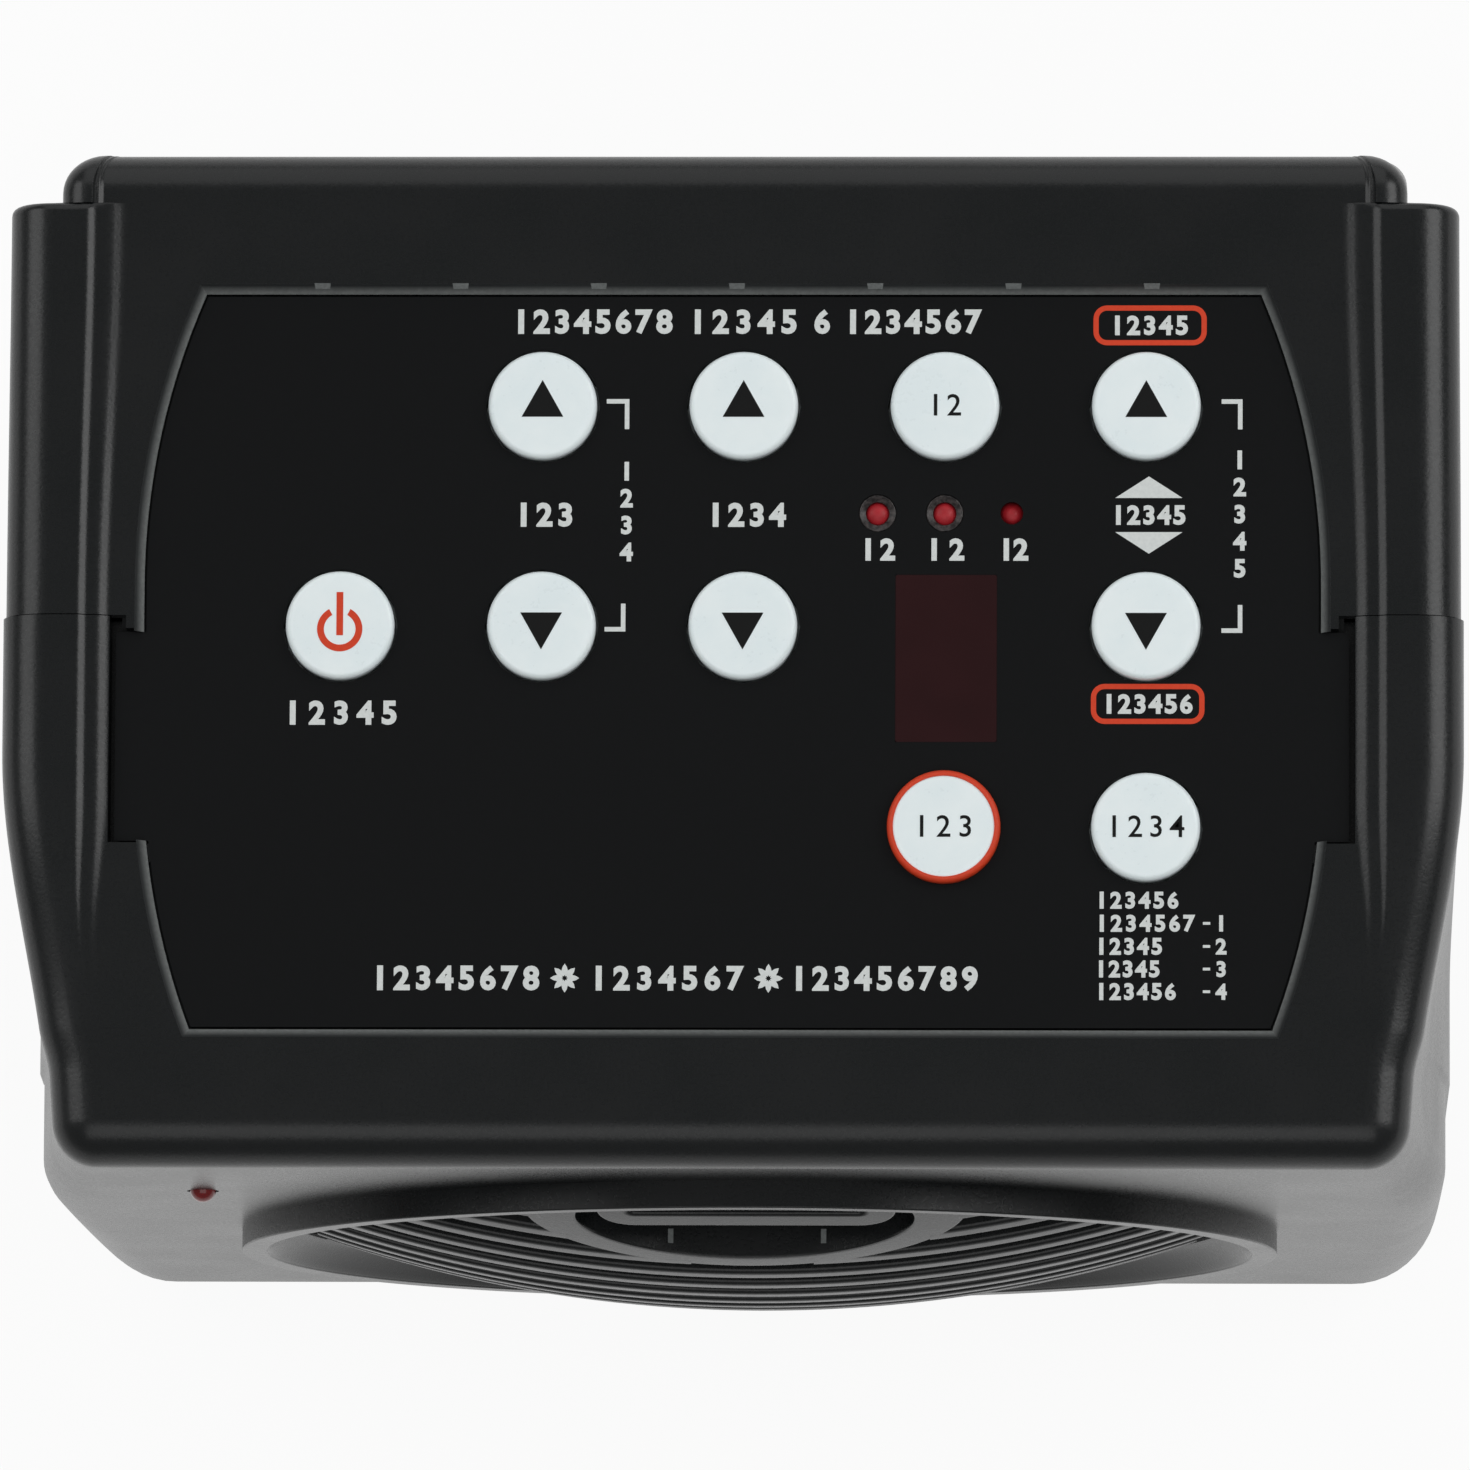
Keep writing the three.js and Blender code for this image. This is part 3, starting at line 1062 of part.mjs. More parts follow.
function dustCap() {
  const seat = speakerFace - BASKET_NECK - BASKET_METAL - CONE_DEPTH + CONE_THICKNESS;
  const slope = CONE_DEPTH / (basketRadius - VOICE_COIL_RADIUS);
  const edge = seat + slope * (DUST_CAP_RADIUS - VOICE_COIL_RADIUS) + DUST_CAP_LIFT;
  const dome = quarterTurns(3).map((a) => [
    DUST_CAP_RADIUS * Math.sin(a),
    edge + DUST_CAP_HEIGHT * Math.cos(a),
  ]);
  return turnedForward([...dome, [VOICE_COIL_RADIUS, edge - FIT_GAP], [0, edge - FIT_GAP]], 0, speakerZ);
}

function speakerMagnet() {
  const front = speakerFace - BASKET_DEPTH - FIT_GAP;
  const rear = front - MAGNET_THICKNESS;
  return turnedForward(
    [
      [0, front + BASKET_METAL],
      [VOICE_COIL_RADIUS - FIT_GAP, front + BASKET_METAL],
      [VOICE_COIL_RADIUS - FIT_GAP, front],
      [MAGNET_RADIUS, front],
      [MAGNET_RADIUS, rear],
      [MAGNET_RADIUS - YOKE_THICKNESS, rear],
      [MAGNET_RADIUS - YOKE_THICKNESS, rear - YOKE_THICKNESS],
      [0, rear - YOKE_THICKNESS],
    ],
    0, speakerZ,
  );
}

// A screw whose head looks to the rear. The head's seat is at seatY and the shank runs forward.
function screw(x, z, seatY, length) {
  const radius = SCREW_HEAD_DIAMETER / 2;
  const seat = frontY - seatY;
  const body = turnedForward(
    [
      [0, seat + length],
      [SCREW_SHANK_DIAMETER / 2, seat + length - SCREW_SHANK_DIAMETER / 2],
      [SCREW_SHANK_DIAMETER / 2, seat],
      [radius, seat],
      [radius, seat - SCREW_HEAD_HEIGHT / 2],
      [radius / 2, seat - SCREW_HEAD_HEIGHT],
      [0, seat - SCREW_HEAD_HEIGHT],
    ],
    x, z, SMALL_SIDES,
  );
  const [long, wide] = [SCREW_RECESS_LENGTH / 2, SCREW_RECESS_WIDTH / 2];
  const depth = [seatY + SCREW_HEAD_HEIGHT - SCREW_RECESS_DEPTH, seatY + SCREW_HEAD_HEIGHT + OVERRUN];
  return cut(
    body,
    block([x - long, x + long], depth, [z - wide, z + wide]),
    block([x - wide, x + wide], depth, [z - long, z + long]),
  );
}

function batteryDoor() {
  const front = bayFront;
  const plate = beam(doorSection(0), front, rearY).intersect(rearSkin(0, partingY));
  const ribs = Array.from({ length: DOOR_RIB_COUNT }, (_, i) => {
    const y = rearY - DOOR_RIB_PITCH * (i + 1);
    const underZ = baseZ - OVERRUN;
    const ring = [
      [y - DOOR_RIB_WIDTH / 2, underZ],
      [y + DOOR_RIB_WIDTH / 2, underZ],
      [y, baseZ + DOOR_RIB_DEPTH],
    ];
    return loft([-1, 1].map((side) => ring.map(([py, z]) => [(side * DOOR_RIB_LENGTH) / 2, py, z])));
  });
  return cut(plate, ...ribs);
}

// A dry cell that lies along X. Its nub points left or right.
function cell(x, y, direction) {
  const radius = CELL_DIAMETER / 2;
  const profile = [
    [0, CELL_LENGTH / 2 + CELL_NUB_HEIGHT],
    [CELL_NUB_DIAMETER / 2, CELL_LENGTH / 2 + CELL_NUB_HEIGHT],
    [CELL_NUB_DIAMETER / 2, CELL_LENGTH / 2],
    [radius - FIT_GAP, CELL_LENGTH / 2],
    [radius, CELL_LENGTH / 2 - FIT_GAP],
    [radius, -CELL_LENGTH / 2 + FIT_GAP],
    [radius - FIT_GAP, -CELL_LENGTH / 2],
    [0, -CELL_LENGTH / 2],
  ];
  const points = profile.map(([r, along]) => new THREE.Vector2(r, along));
  const body = new THREE.LatheGeometry(points, LAMP_SIDES);
  return solid(body.rotateZ((-direction * Math.PI) / 2).translate(x, y, cellZ));
}

const cellRows = spread(0, CELLS_ABREAST - 1, CELLS_ABREAST - 1).map(
  (i) => bayFront + CELL_GAP + CELL_DIAMETER / 2 + i * (CELL_DIAMETER + CELL_GAP),
);

// A contact strip at one end of the bay, with a sprung bump for each cell.
function contact(side) {
  const wall = side * (bayHalf - FIT_GAP / 2);
  const face = wall - side * CONTACT_THICKNESS;
  const xs = sorted(wall, face);
  const zs = [cellZ - CONTACT_WIDTH / 2, cellZ + CONTACT_WIDTH / 2];
  const strip = block(xs, [bayFront + CELL_GAP, bayRear - CELL_GAP], zs);
  const bumps = cellRows.map((y) => {
    const profile = [
      [0, CONTACT_SPRING_HEIGHT],
      [CONTACT_SPRING_RADIUS / 2, CONTACT_SPRING_HEIGHT],
      [CONTACT_SPRING_RADIUS, -CONTACT_THICKNESS / 2],
      [0, -CONTACT_THICKNESS / 2],
    ];
    const points = profile.map(([r, along]) => new THREE.Vector2(r, along));
    const bump = new THREE.LatheGeometry(points, SMALL_SIDES).rotateZ((side * Math.PI) / 2);
    return solid(bump.translate(face, y, cellZ));
  });
  return join(strip, ...bumps);
}

function foot(x, y) {
  const radius = FOOT_DIAMETER / 2;
  const profile = [
    [0, 0],
    [radius - FOOT_DRAFT, 0],
    [radius, FOOT_HEIGHT / 2],
    [radius, FOOT_HEIGHT],
    [0, FOOT_HEIGHT],
  ];
  return turned(profile, x, y, ROUND_SIDES);
}

// Colours and finishes.
const finishes = {
  shell: { color: 0x1f2121, roughness: 0.45 },
  label: { color: 0x181a1a, roughness: 0.7 },
  plate: { color: 0x232525, roughness: 0.6 },
  key: { color: 0xdae3e5, roughness: 0.35 },
  lamp: { color: 0xa01818, roughness: 0.2 },
  lens: { color: 0x2a1316, roughness: 0.15 },
  board: { color: 0x1d5b37, roughness: 0.55 },
  socket: { color: 0x151616, roughness: 0.5 },
  paper: { color: 0x202020, roughness: 0.85 },
  steel: { color: 0xa9adb0, roughness: 0.35, metalness: 1 },
  magnet: { color: 0x4a4c4e, roughness: 0.6, metalness: 0.6 },
  brass: { color: 0xb58a3c, roughness: 0.35, metalness: 1 },
  cell: { color: 0x3a5f8c, roughness: 0.4, metalness: 0.3 },
  rubber: { color: 0x1a1a1a, roughness: 0.9 },
};

const tanpura = new THREE.Group();

function add(name, whole, finish) {
  const mesh = new THREE.Mesh(geometryOf(whole), new THREE.MeshStandardMaterial(finishes[finish]));
  mesh.name = name;
  tanpura.add(mesh);
}

add("front_shell", frontShell(), "shell");
add("rear_shell", rearShell(), "shell");
add("control_plate", controlPlate(), "plate");
add("panel_label", panelLabel(), "label");
keyPlaces.forEach((place) => add(place.name, keyCap(place), "key"));
stringLeds.forEach(({ name, x, y, hole }) => {
  const covered = hole < LED_DIAMETER;
  add(name, led(x, y, covered ? plateTopZ - FIT_GAP : labelTopZ + LED_PROUD, boardTopZ), "lamp");
});
add("display_window", displayWindow(), "lens");
add("display_module", displayModule(), "socket");
add("key_board", keyBoard(), "board");
add("main_board", mainBoard(), "board");
const powerSocketSizes = [POWER_SOCKET_WIDTH, POWER_SOCKET_HEIGHT, POWER_SOCKET_BORE, POWER_SOCKET_PIN];
add("power_socket", socket(socketXs.power, ...powerSocketSizes), "socket");
const lineSocketSizes = [LINE_SOCKET_WIDTH, LINE_SOCKET_WIDTH, LINE_SOCKET_BORE, 0];
add("line_socket", socket(socketXs.line, ...lineSocketSizes), "socket");

// The power lamp lies on its back in its sleeve, so it is made upright and then laid towards the front.
const lampTip = LED_BODY_HEIGHT + WALL + POWER_LED_PROUD;
const lamp = geometryOf(led(0, 0, lampTip, -LED_BODY_HEIGHT));
lamp.rotateX(Math.PI / 2).translate(lampX, frontY + WALL + LED_BODY_HEIGHT, lampZ);
add("power_led", solid(lamp), "lamp");

add("speaker_grille", speakerGrille(), "shell");
add("speaker_frame", speakerFrame(), "steel");
add("speaker_cone", speakerCone(), "paper");
add("speaker_dust_cap", dustCap(), "paper");
add("speaker_magnet", speakerMagnet(), "magnet");
const speakerSeatY = frontY - speakerFace + SPEAKER_FLANGE_THICKNESS + SCREW_SEAT_GAP;
speakerPosts.forEach(({ x, z }, i) =>
  add(`speaker_screw_${i + 1}`, screw(x, z, speakerSeatY, SPEAKER_SCREW_LENGTH), "steel"),
);
casePosts.forEach(({ x, z }, i) =>
  add(`case_screw_${i + 1}`, screw(x, z, partingY + FIT_GAP + CASE_SCREW_SEAT, CASE_SCREW_LENGTH), "steel"),
);

add("battery_door", batteryDoor(), "shell");
cellRows.forEach((y, row) =>
  [-1, 1].forEach((side) => {
    const direction = row % 2 ? -1 : 1;
    const x = (side * (CELL_LENGTH + CELL_NUB_HEIGHT + FIT_GAP)) / 2 - (direction * CELL_NUB_HEIGHT) / 2;
    add(`battery_cell_${side < 0 ? "left" : "right"}_${row + 1}`, cell(x, y, direction), "cell");
  }),
);
add("battery_contact_left", contact(-1), "brass");
add("battery_contact_right", contact(1), "brass");

const footRows = [["front", frontY + FOOT_FRONT_INSET], ["rear", rearY - FOOT_REAR_INSET]];
for (const [end, y] of footRows)
  for (const [hand, side] of [["left", -1], ["right", 1]])
    add(`foot_${end}_${hand}`, foot(side * (halfCase - FOOT_INSET), y), "rubber");

export default tanpura;
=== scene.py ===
import bmesh
import bpy
import numpy as np
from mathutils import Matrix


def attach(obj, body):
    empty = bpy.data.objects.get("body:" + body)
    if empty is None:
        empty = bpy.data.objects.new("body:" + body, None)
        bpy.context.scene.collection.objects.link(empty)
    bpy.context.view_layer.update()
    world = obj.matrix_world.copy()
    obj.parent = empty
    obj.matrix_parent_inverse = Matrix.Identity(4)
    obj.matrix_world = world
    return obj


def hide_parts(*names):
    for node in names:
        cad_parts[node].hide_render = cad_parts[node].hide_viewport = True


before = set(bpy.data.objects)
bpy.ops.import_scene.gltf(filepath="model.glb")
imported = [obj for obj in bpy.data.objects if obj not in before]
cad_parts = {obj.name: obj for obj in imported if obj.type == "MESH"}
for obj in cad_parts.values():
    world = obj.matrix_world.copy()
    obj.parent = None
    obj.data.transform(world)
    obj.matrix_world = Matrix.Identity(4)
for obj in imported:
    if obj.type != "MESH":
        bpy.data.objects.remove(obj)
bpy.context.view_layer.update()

# Rear shell
# The rear half of the case: the rear wall, two raised pillars, and a narrower body that stands out behind them.
# Injection-moulded ABS with a fine spark-eroded grain. Four screws from behind hold it to the front shell.
MM = 0.001
CASE_HALF = 80.6
CASE_TOP = 140.0
CASE_BASE = 2.5
FRONT_Y = -52.451
REAR_Y = 60.749
PARTING_Y = 8.249
REAR_PART = PARTING_Y + 0.05  # each shell stops just short of the parting plane
PILLAR_END_Y = 54.249
WALL = 2.4
LEAST_RADIUS = 0.5
TOP_RADIUS = 5
BASE_RADIUS = 3
PILLAR_RISE = 1.2
CREST_FRONT = (12.2, 10.3, 9.6, 8.3, 7.6)  # how far in from the side each line of the crest runs, at its front
CREST_REAR = (13.7, 11.2, 10.3, 8.9, 7.9)
CREST_NARROW = (11.0, 10.2, 9.7, 9.0, 8.2)
CREST_SHARES = (0, 0.55, 0.57, 1, 1)  # each line's share of the rise, from the frame out to the pillar
CREST_STEP = 0.07  # least distance between two of its points
LEVEL = np.ones(21)  # as many points as ridges gives for five values
SIDE_SHARES = np.linspace(0.95, 0.06, 15)
ARC_STEPS = 8


def ease(t):
    """0 up to 0, 1 from 1 on, and 3t² - 2t³ between."""
    t = np.clip(t, 0, 1)
    return t * t * (3 - 2 * t)


def ridges(values, steps=5):
    """Each value goes over into the next along 3t² - 2t³, so that every ridge and valley is round."""
    values = np.asarray(values, float)
    t = np.linspace(0, len(values) - 1, (len(values) - 1) * steps + 1)
    low = np.minimum(t.astype(int), len(values) - 2)
    return values[low] + (values[low + 1] - values[low]) * ease(t - low)


def evenly(values, steps=5):
    """Straight lines between the values, with the same number of steps as ridges."""
    t = np.linspace(0, len(values) - 1, (len(values) - 1) * steps + 1)
    return np.interp(t, np.arange(len(values)), values)


def case_rings(form, straight, turns):
    """The case's skin as a grid: one ring across the case for each straight place, then one for each turn of the end's
    rounding. A ring is the crest, the shoulder's quarter circle, the side and the base's quarter circle, and then its
    mirror image. At turn t a corner of radius r has drawn in by r(1 - cos t) and stands r(1 - sin t) from the face."""
    turn = np.concatenate([np.zeros(len(straight)), turns])[:, None]
    bent = (np.arange(len(turn)) >= len(straight))[:, None]
    at = np.concatenate([straight, np.zeros(len(turns))])[:, None]
    drawn = 1 - np.cos(turn)
    edge, shoulder, base_edge = form["edge"], form["shoulder"], form["base_edge"]
    top, base = form["top"], form["base"]

    def place(r):
        return np.where(bent, form["face"] - form["outward"] * r * (1 - np.sin(turn)), at)

    def half(r, z):
        return form["half_width"](place(r), z)

    def quarter(radius, corner, z, angles, lift):
        shrink = min(corner, radius)
        r = radius - shrink * drawn
        x = half(corner, z) - radius - (corner - shrink) * drawn
        return x + r * np.cos(angles), place(corner) + 0 * angles, lift + r * np.sin(angles)

    rise = PILLAR_RISE * form["rise"](place(edge))
    sink = (edge - min(edge, shoulder)) * drawn
    count = len(form["crest"])
    farthest = half(edge, top) - shoulder - sink - (count - np.arange(count)) * CREST_STEP
    crest_x = np.minimum(CASE_HALF - form["offsets"](place(edge)), farthest)
    crest = (crest_x, place(edge) + 0 * crest_x, top + rise * form["crest"] - edge * drawn * form["sinks"])
    shoulder_z = top + rise * form["crest"][-1] - shoulder - sink
    upper = quarter(shoulder, edge, top, np.linspace(np.pi / 2, 0, ARC_STEPS + 1), shoulder_z)
    side_z = base + (top - base) * SIDE_SHARES[None, :]
    corner = form["corner"](side_z)
    side = (half(corner, side_z) - corner * drawn, place(corner), side_z + 0 * drawn)
    lowest = float(np.ravel(form["corner"](np.array([[base]])))[0])
    lower = quarter(base_edge, lowest, base, np.linspace(0, -np.pi / 2, ARC_STEPS + 1), base + base_edge)
    right = np.concatenate([np.stack(run, axis=-1) for run in (crest, upper, side, lower)], axis=1)
    return np.concatenate([right, right[:, ::-1] * [-1, 1, 1]], axis=1)


def skin(grid, capped=True):
    """Points and faces of a grid whose columns close on themselves: a quad between neighbours, and a flat face on the
    first and last row where it is capped."""
    rows, columns = grid.shape[:2]
    start = np.arange(rows - 1)[:, None] * columns
    here = np.arange(columns)
    there = (here + 1) % columns
    quads = np.stack([start + here, start + there, start + columns + there, start + columns + here], axis=-1)
    faces = quads.reshape(-1, 4).tolist()
    if capped:
        faces += [here[::-1].tolist(), (here + (rows - 1) * columns).tolist()]
    return grid.reshape(-1, 3), faces


def add_object(name, data):
    """A new object in the scene."""
    made = bpy.data.objects.new(name, data)
    bpy.context.scene.collection.objects.link(made)
    return made


def shape_of(made):
    """A mesh of the object as its modifiers or its font leave it."""
    return bpy.data.meshes.new_from_object(made.evaluated_get(bpy.context.evaluated_depsgraph_get()))


def solid(name, *skins):
    """One object from skins in millimetres. Points that meet are merged, and faces look outwards."""
    starts = np.cumsum([0] + [len(points) for points, _ in skins])
    faces = [[k + start for k in face] for (_, some), start in zip(skins, starts) for face in some]
    mesh = bpy.data.meshes.new(name)
    mesh.from_pydata((np.concatenate([points for points, _ in skins]) * MM).tolist(), [], faces)
    clean = bmesh.new()
    clean.from_mesh(mesh)
    bmesh.ops.remove_doubles(clean, verts=clean.verts, dist=2e-7)
    bmesh.ops.recalc_face_normals(clean, faces=clean.faces)
    clean.to_mesh(mesh)
    clean.free()
    return soften(add_object(name, mesh))


def soften(made):
    """Smooth shading, with the edges past 32 degrees kept sharp."""
    made.data.polygons.foreach_set("use_smooth", np.ones(len(made.data.polygons), bool))
    made.data.set_sharp_from_angle(angle=np.radians(32))
    return made


def carve(whole, *tools, way="DIFFERENCE"):
    """Cuts each tool, an object or a skin, out of the whole, or joins it on, and takes the tool away."""
    for tool in tools:
        tool = tool if isinstance(tool, bpy.types.Object) else solid("tool", tool)
        step = whole.modifiers.new("carve", "BOOLEAN")
        step.operation, step.solver, step.object = way, "MANIFOLD", tool
        shape = shape_of(whole)
        whole.modifiers.clear()
        whole.data = shape
        bpy.data.objects.remove(tool)
    soften(whole)


def weigh(made):
    """Normals that follow the large faces, so that a flat beside a rounding stays flat to the eye."""
    made.modifiers.new("weighted", "WEIGHTED_NORMAL").keep_sharp = True


def level_rows(outlines, zs):
    """Flat outlines in plan, each at its height, as the rows of a grid."""
    return np.stack([np.column_stack([line, np.full(len(line), z)]) for line, z in zip(outlines, zs)])


def prism(outline, z0, z1):
    """A flat outline in plan raised from z0 to z1, as a skin."""
    return skin(level_rows((outline, outline), (z0, z1)))


def block(xs, ys, zs):
    """A box between two corners, as a skin."""
    (x0, x1), (y0, y1) = sorted(xs), sorted(ys)
    return prism(np.array([(x0, y0), (x1, y0), (x1, y1), (x0, y1)], float), *zs)


def turned(profile, centre=(0, 0), axis="z", sides=64):
    """A profile of (radius, place along the axis) carried round the axis: at angle a the point of radius r stands at
    the centre + r(cos a, sin a). Where the profile ends on the axis or on itself, the skin is closed."""
    r, along = np.asarray(profile, float).T[:, :, None]
    a = np.linspace(0, 2 * np.pi, sides, endpoint=False)
    u, v = centre[0] + r * np.cos(a), centre[1] + r * np.sin(a)
    along = along + 0 * a
    order = {"z": (u, v, along), "y": (u, along, v), "x": (along, u, v)}[axis]
    return skin(np.stack(order, axis=-1), capped=False)


def rod(radius, ends, centre, axis="z", sides=64):
    """A plain round bar from one end to the other."""
    start, end = ends
    return turned([(0, start), (radius, start), (radius, end), (0, end)], centre, axis, sides)


def shell_form(inset, outward, crest, **more):
    """What the front and rear forms share. An inset gives the hollow, whose top is level."""
    return {
        "outward": outward, "top": CASE_TOP - inset, "base": CASE_BASE + inset,
        "base_edge": max(BASE_RADIUS - inset, LEAST_RADIUS), "crest": 0 * LEVEL if inset else ridges(crest),
        "sinks": LEVEL, "rise": lambda y: 1 + 0 * y,
    } | more


def rear_skin(inset, start):
    """The part between the pillars and the narrower body behind it, in one skin. The rear wall bows: towards each side
    it stands 0.6(x/74)² mm further forward."""
    first, last, narrow = evenly(CREST_FRONT), evenly(CREST_REAR), evenly(CREST_NARROW)
    end_radius = LEAST_RADIUS if inset else 1.0
    pillars = shell_form(
        inset, 1, CREST_SHARES, face=PILLAR_END_Y - inset, edge=end_radius, shoulder=TOP_RADIUS - inset,
        sinks=LEVEL if inset else ridges((0, 0.1, 0.2, 0.8, 1)),
        offsets=lambda y: first + (last - first) * ease((y - PARTING_Y) / 44),
        corner=lambda z: end_radius + 0 * z,
        half_width=lambda y, z: CASE_HALF - inset - 0.3 - 0.15 * ease((y - PARTING_Y) / 46) + 0 * z,
    )
    body = shell_form(
        inset, 1, (0, 0.3, 0.25, 0.7, 0.7), face=REAR_Y - inset, edge=max(TOP_RADIUS - inset, LEAST_RADIUS),
        shoulder=max(3 - inset, LEAST_RADIUS), offsets=lambda y: narrow + 0 * y,
        corner=lambda z: 3.2 - inset + 0 * z, half_width=lambda y, z: CASE_HALF - inset - 6.2 + 0 * y + 0 * z,
    )
    ahead = case_rings(pillars, np.linspace(start, pillars["face"] - 1, 12), np.linspace(0, np.pi / 2, 7))
    behind = case_rings(body, [pillars["face"]], np.linspace(0, np.pi / 2, 12))
    share = np.clip((behind[..., 1] - PILLAR_END_Y) / 6.5, 0, 1)
    behind[..., 1] -= 0.6 * (behind[..., 0] / 74.4) ** 2 * share
    return skin(np.concatenate([ahead, behind]))


PANEL_Y = -5.051  # the line from which the panel is laid out
PANEL_STEPS = 18
LABEL_TOP = 138.85
CHAMFER = 1.0


def panel_outline(grow=0.0, tab=False):
    """The panel seen from above: level at the rear and front, and each side an arc of 82 mm radius at its rear and its
    front, which has drawn in by R - sqrt(R² - d²) at the distance d past its start. A tab fills the side's middle."""
    radius = 82 + grow
    front, rear = PANEL_Y - 32.5 - grow, PANEL_Y + 49.3 + grow

    def side(y):
        past = np.maximum(0, np.maximum(y - PANEL_Y - 17, PANEL_Y - 3.3 - y))
        return CASE_HALF - 15.7 + grow - (radius - np.sqrt(radius**2 - past**2))

    ahead = np.linspace(front, PANEL_Y - 11.6, PANEL_STEPS)
    behind = np.linspace(PANEL_Y + 11.6, rear, PANEL_STEPS)
    run = [np.column_stack([side(ahead), ahead]), np.column_stack([side(behind), behind])]
    if tab:
        out = CASE_HALF - 12.65
        run.insert(1, np.array([(out, ahead[-1]), (out, behind[0])]))
    right = np.concatenate(run)
    return np.concatenate([right, right[::-1] * [-1, 1]])


def opening_skins():
    """What is cut from the frame round the panel: the opening, and the slope above the printed sheet."""
    widest = 2 * CHAMFER / 1.15 + CHAMFER
    slope = level_rows((panel_outline(), panel_outline(widest)), (LABEL_TOP, CASE_TOP + 2))
    return prism(panel_outline(), 130, LABEL_TOP + 0.25), skin(slope)


SCREW_PLACES = [(s * 64.58, z) for s in (-1, 1) for z in (121.0, 8.3)]
BAY_HALF = 53.65
BAY_YS = (12.65, 58.05)
BAY_TOP = 20.3
BAY_WALL = 1.8
BEHIND = 70  # behind the whole case
SOCKET_Z = 104.0

rear_shell = solid("rear_shell_moulding", rear_skin(0, REAR_PART))
hollow = solid("tool", rear_skin(WALL, REAR_PART - 2))
posts = [rod(4.2, (0, 62), place, "y", 32) for place in SCREW_PLACES]
bay_out, bay_front = BAY_HALF + BAY_WALL, BAY_YS[0] - BAY_WALL
bay_box = block((-bay_out, bay_out), (bay_front, BEHIND), (0, BAY_TOP + BAY_WALL))
floor = block((-57.9, 57.9), (bay_front, BEHIND), (0, 5.5))
carve(hollow, *posts, bay_box, floor)
carve(rear_shell, hollow)
for s in (-1, 1):
    tongue = block((s * 64.9, s * 66.8), (PANEL_Y + 11.9, REAR_PART + 2), (137.6, CASE_TOP))
    carve(rear_shell, tongue, way="UNION")
door_edge = BAY_HALF - 1.6 + 0.3
doorway = np.array([(door_edge, 0.0), (door_edge, 3.4), (BAY_HALF + 0.3, 3.4), (BAY_HALF + 0.3, 5.0)])
doorway = np.concatenate([doorway, doorway[::-1] * [-1, 1]])
doorway = [np.column_stack([doorway[:, 0], np.full(8, y), doorway[:, 1]]) for y in (BAY_YS[0] - 0.3, BEHIND)]
bay = block((-BAY_HALF, BAY_HALF), BAY_YS, (4.7, BAY_TOP))
well_sizes = (3.1, (REAR_PART + 6, BEHIND)), (1.8, (0, 20))
wells = [rod(radius, ends, place, "y", 40) for place in SCREW_PLACES for radius, ends in well_sizes]
nose_holes = [rod(r, (50, BEHIND), (x, SOCKET_Z), "y", 48) for x, r in ((-22, 5.0), (22, 3.6))]
carve(rear_shell, *opening_skins(), bay, skin(np.stack(doorway)), *wells, *nose_holes)
weigh(rear_shell)


def linear(colour):
    """The linear colour of an sRGB hex value: c/12.92 up to 0.04045, and ((c + 0.055)/1.055)^2.4 above."""
    c = np.array([int(colour[k : k + 2], 16) for k in (0, 2, 4)]) / 255
    return (*np.where(c <= 0.04045, c / 12.92, ((c + 0.055) / 1.055) ** 2.4).tolist(), 1.0)


def feed(tree, node, **sockets):
    """Gives each socket a value, a hex colour, an output, or a node's first output. A socket is given by its name,
    with _ for a space, or as in0, in1 by its number."""
    for name, value in sockets.items():
        socket = node.inputs[int(name[2:]) if name[2:].isdigit() else name.replace("_", " ")]
        value = value.outputs[0] if isinstance(value, bpy.types.Node) else value
        if isinstance(value, bpy.types.NodeSocket):
            tree.links.new(value, socket)
        else:
            socket.default_value = linear(value) if isinstance(value, str) else value
    return node


def wire(tree, kind, settings=None, **sockets):
    """Adds a node with its settings, and feeds its sockets."""
    made = tree.nodes.new("ShaderNode" + kind)
    for name, value in (settings or {}).items():
        setattr(made, name, value)
    return feed(tree, made, **sockets)


def material(name):
    """A new material with its Principled shader and the place on the object in metres."""
    made = bpy.data.materials.new(name)
    made.use_nodes = True
    tree = made.node_tree
    return made, tree, tree.nodes["Principled BSDF"], wire(tree, "TexCoord").outputs["Object"]


COLOURS = {"data_type": "RGBA"}  # a Mix node's colours are its inputs 6 and 7, and its result is output 2


def moulded_abs(name, dark, light, grain, depth, rough, patch=14.0):
    """ABS from a spark-eroded mould. The grain is a noise of the given size in millimetres that lifts the surface by
    depth, and its sheen varies in patches, as handled plastic does."""
    made, tree, shader, place = material(name)
    fine = wire(tree, "TexNoise", Vector=place, Scale=1 / (grain * MM), Detail=2.0, Roughness=0.55)
    broad = wire(tree, "TexNoise", Vector=place, Scale=1 / (patch * MM), Detail=4.0, Roughness=0.6)
    tone = wire(tree, "MapRange", in0=broad, in1=0.35, in2=0.65)
    blend = wire(tree, "Mix", COLOURS, Factor=tone, in6=dark, in7=light)
    gloss = wire(tree, "MapRange", in0=broad, in1=0.3, in2=0.7, in3=rough - 0.015, in4=rough + 0.02)
    speck = wire(tree, "MapRange", in0=fine, in1=0.3, in2=0.7, in3=-0.03, in4=0.03)
    sheen = wire(tree, "Math", {"operation": "ADD"}, in0=gloss, in1=speck)
    bump = wire(tree, "Bump", Height=fine, Strength=0.8, Distance=depth * MM)
    feed(tree, shader, Base_Color=blend.outputs[2], Roughness=sheen, Normal=bump, IOR=1.53)
    return made


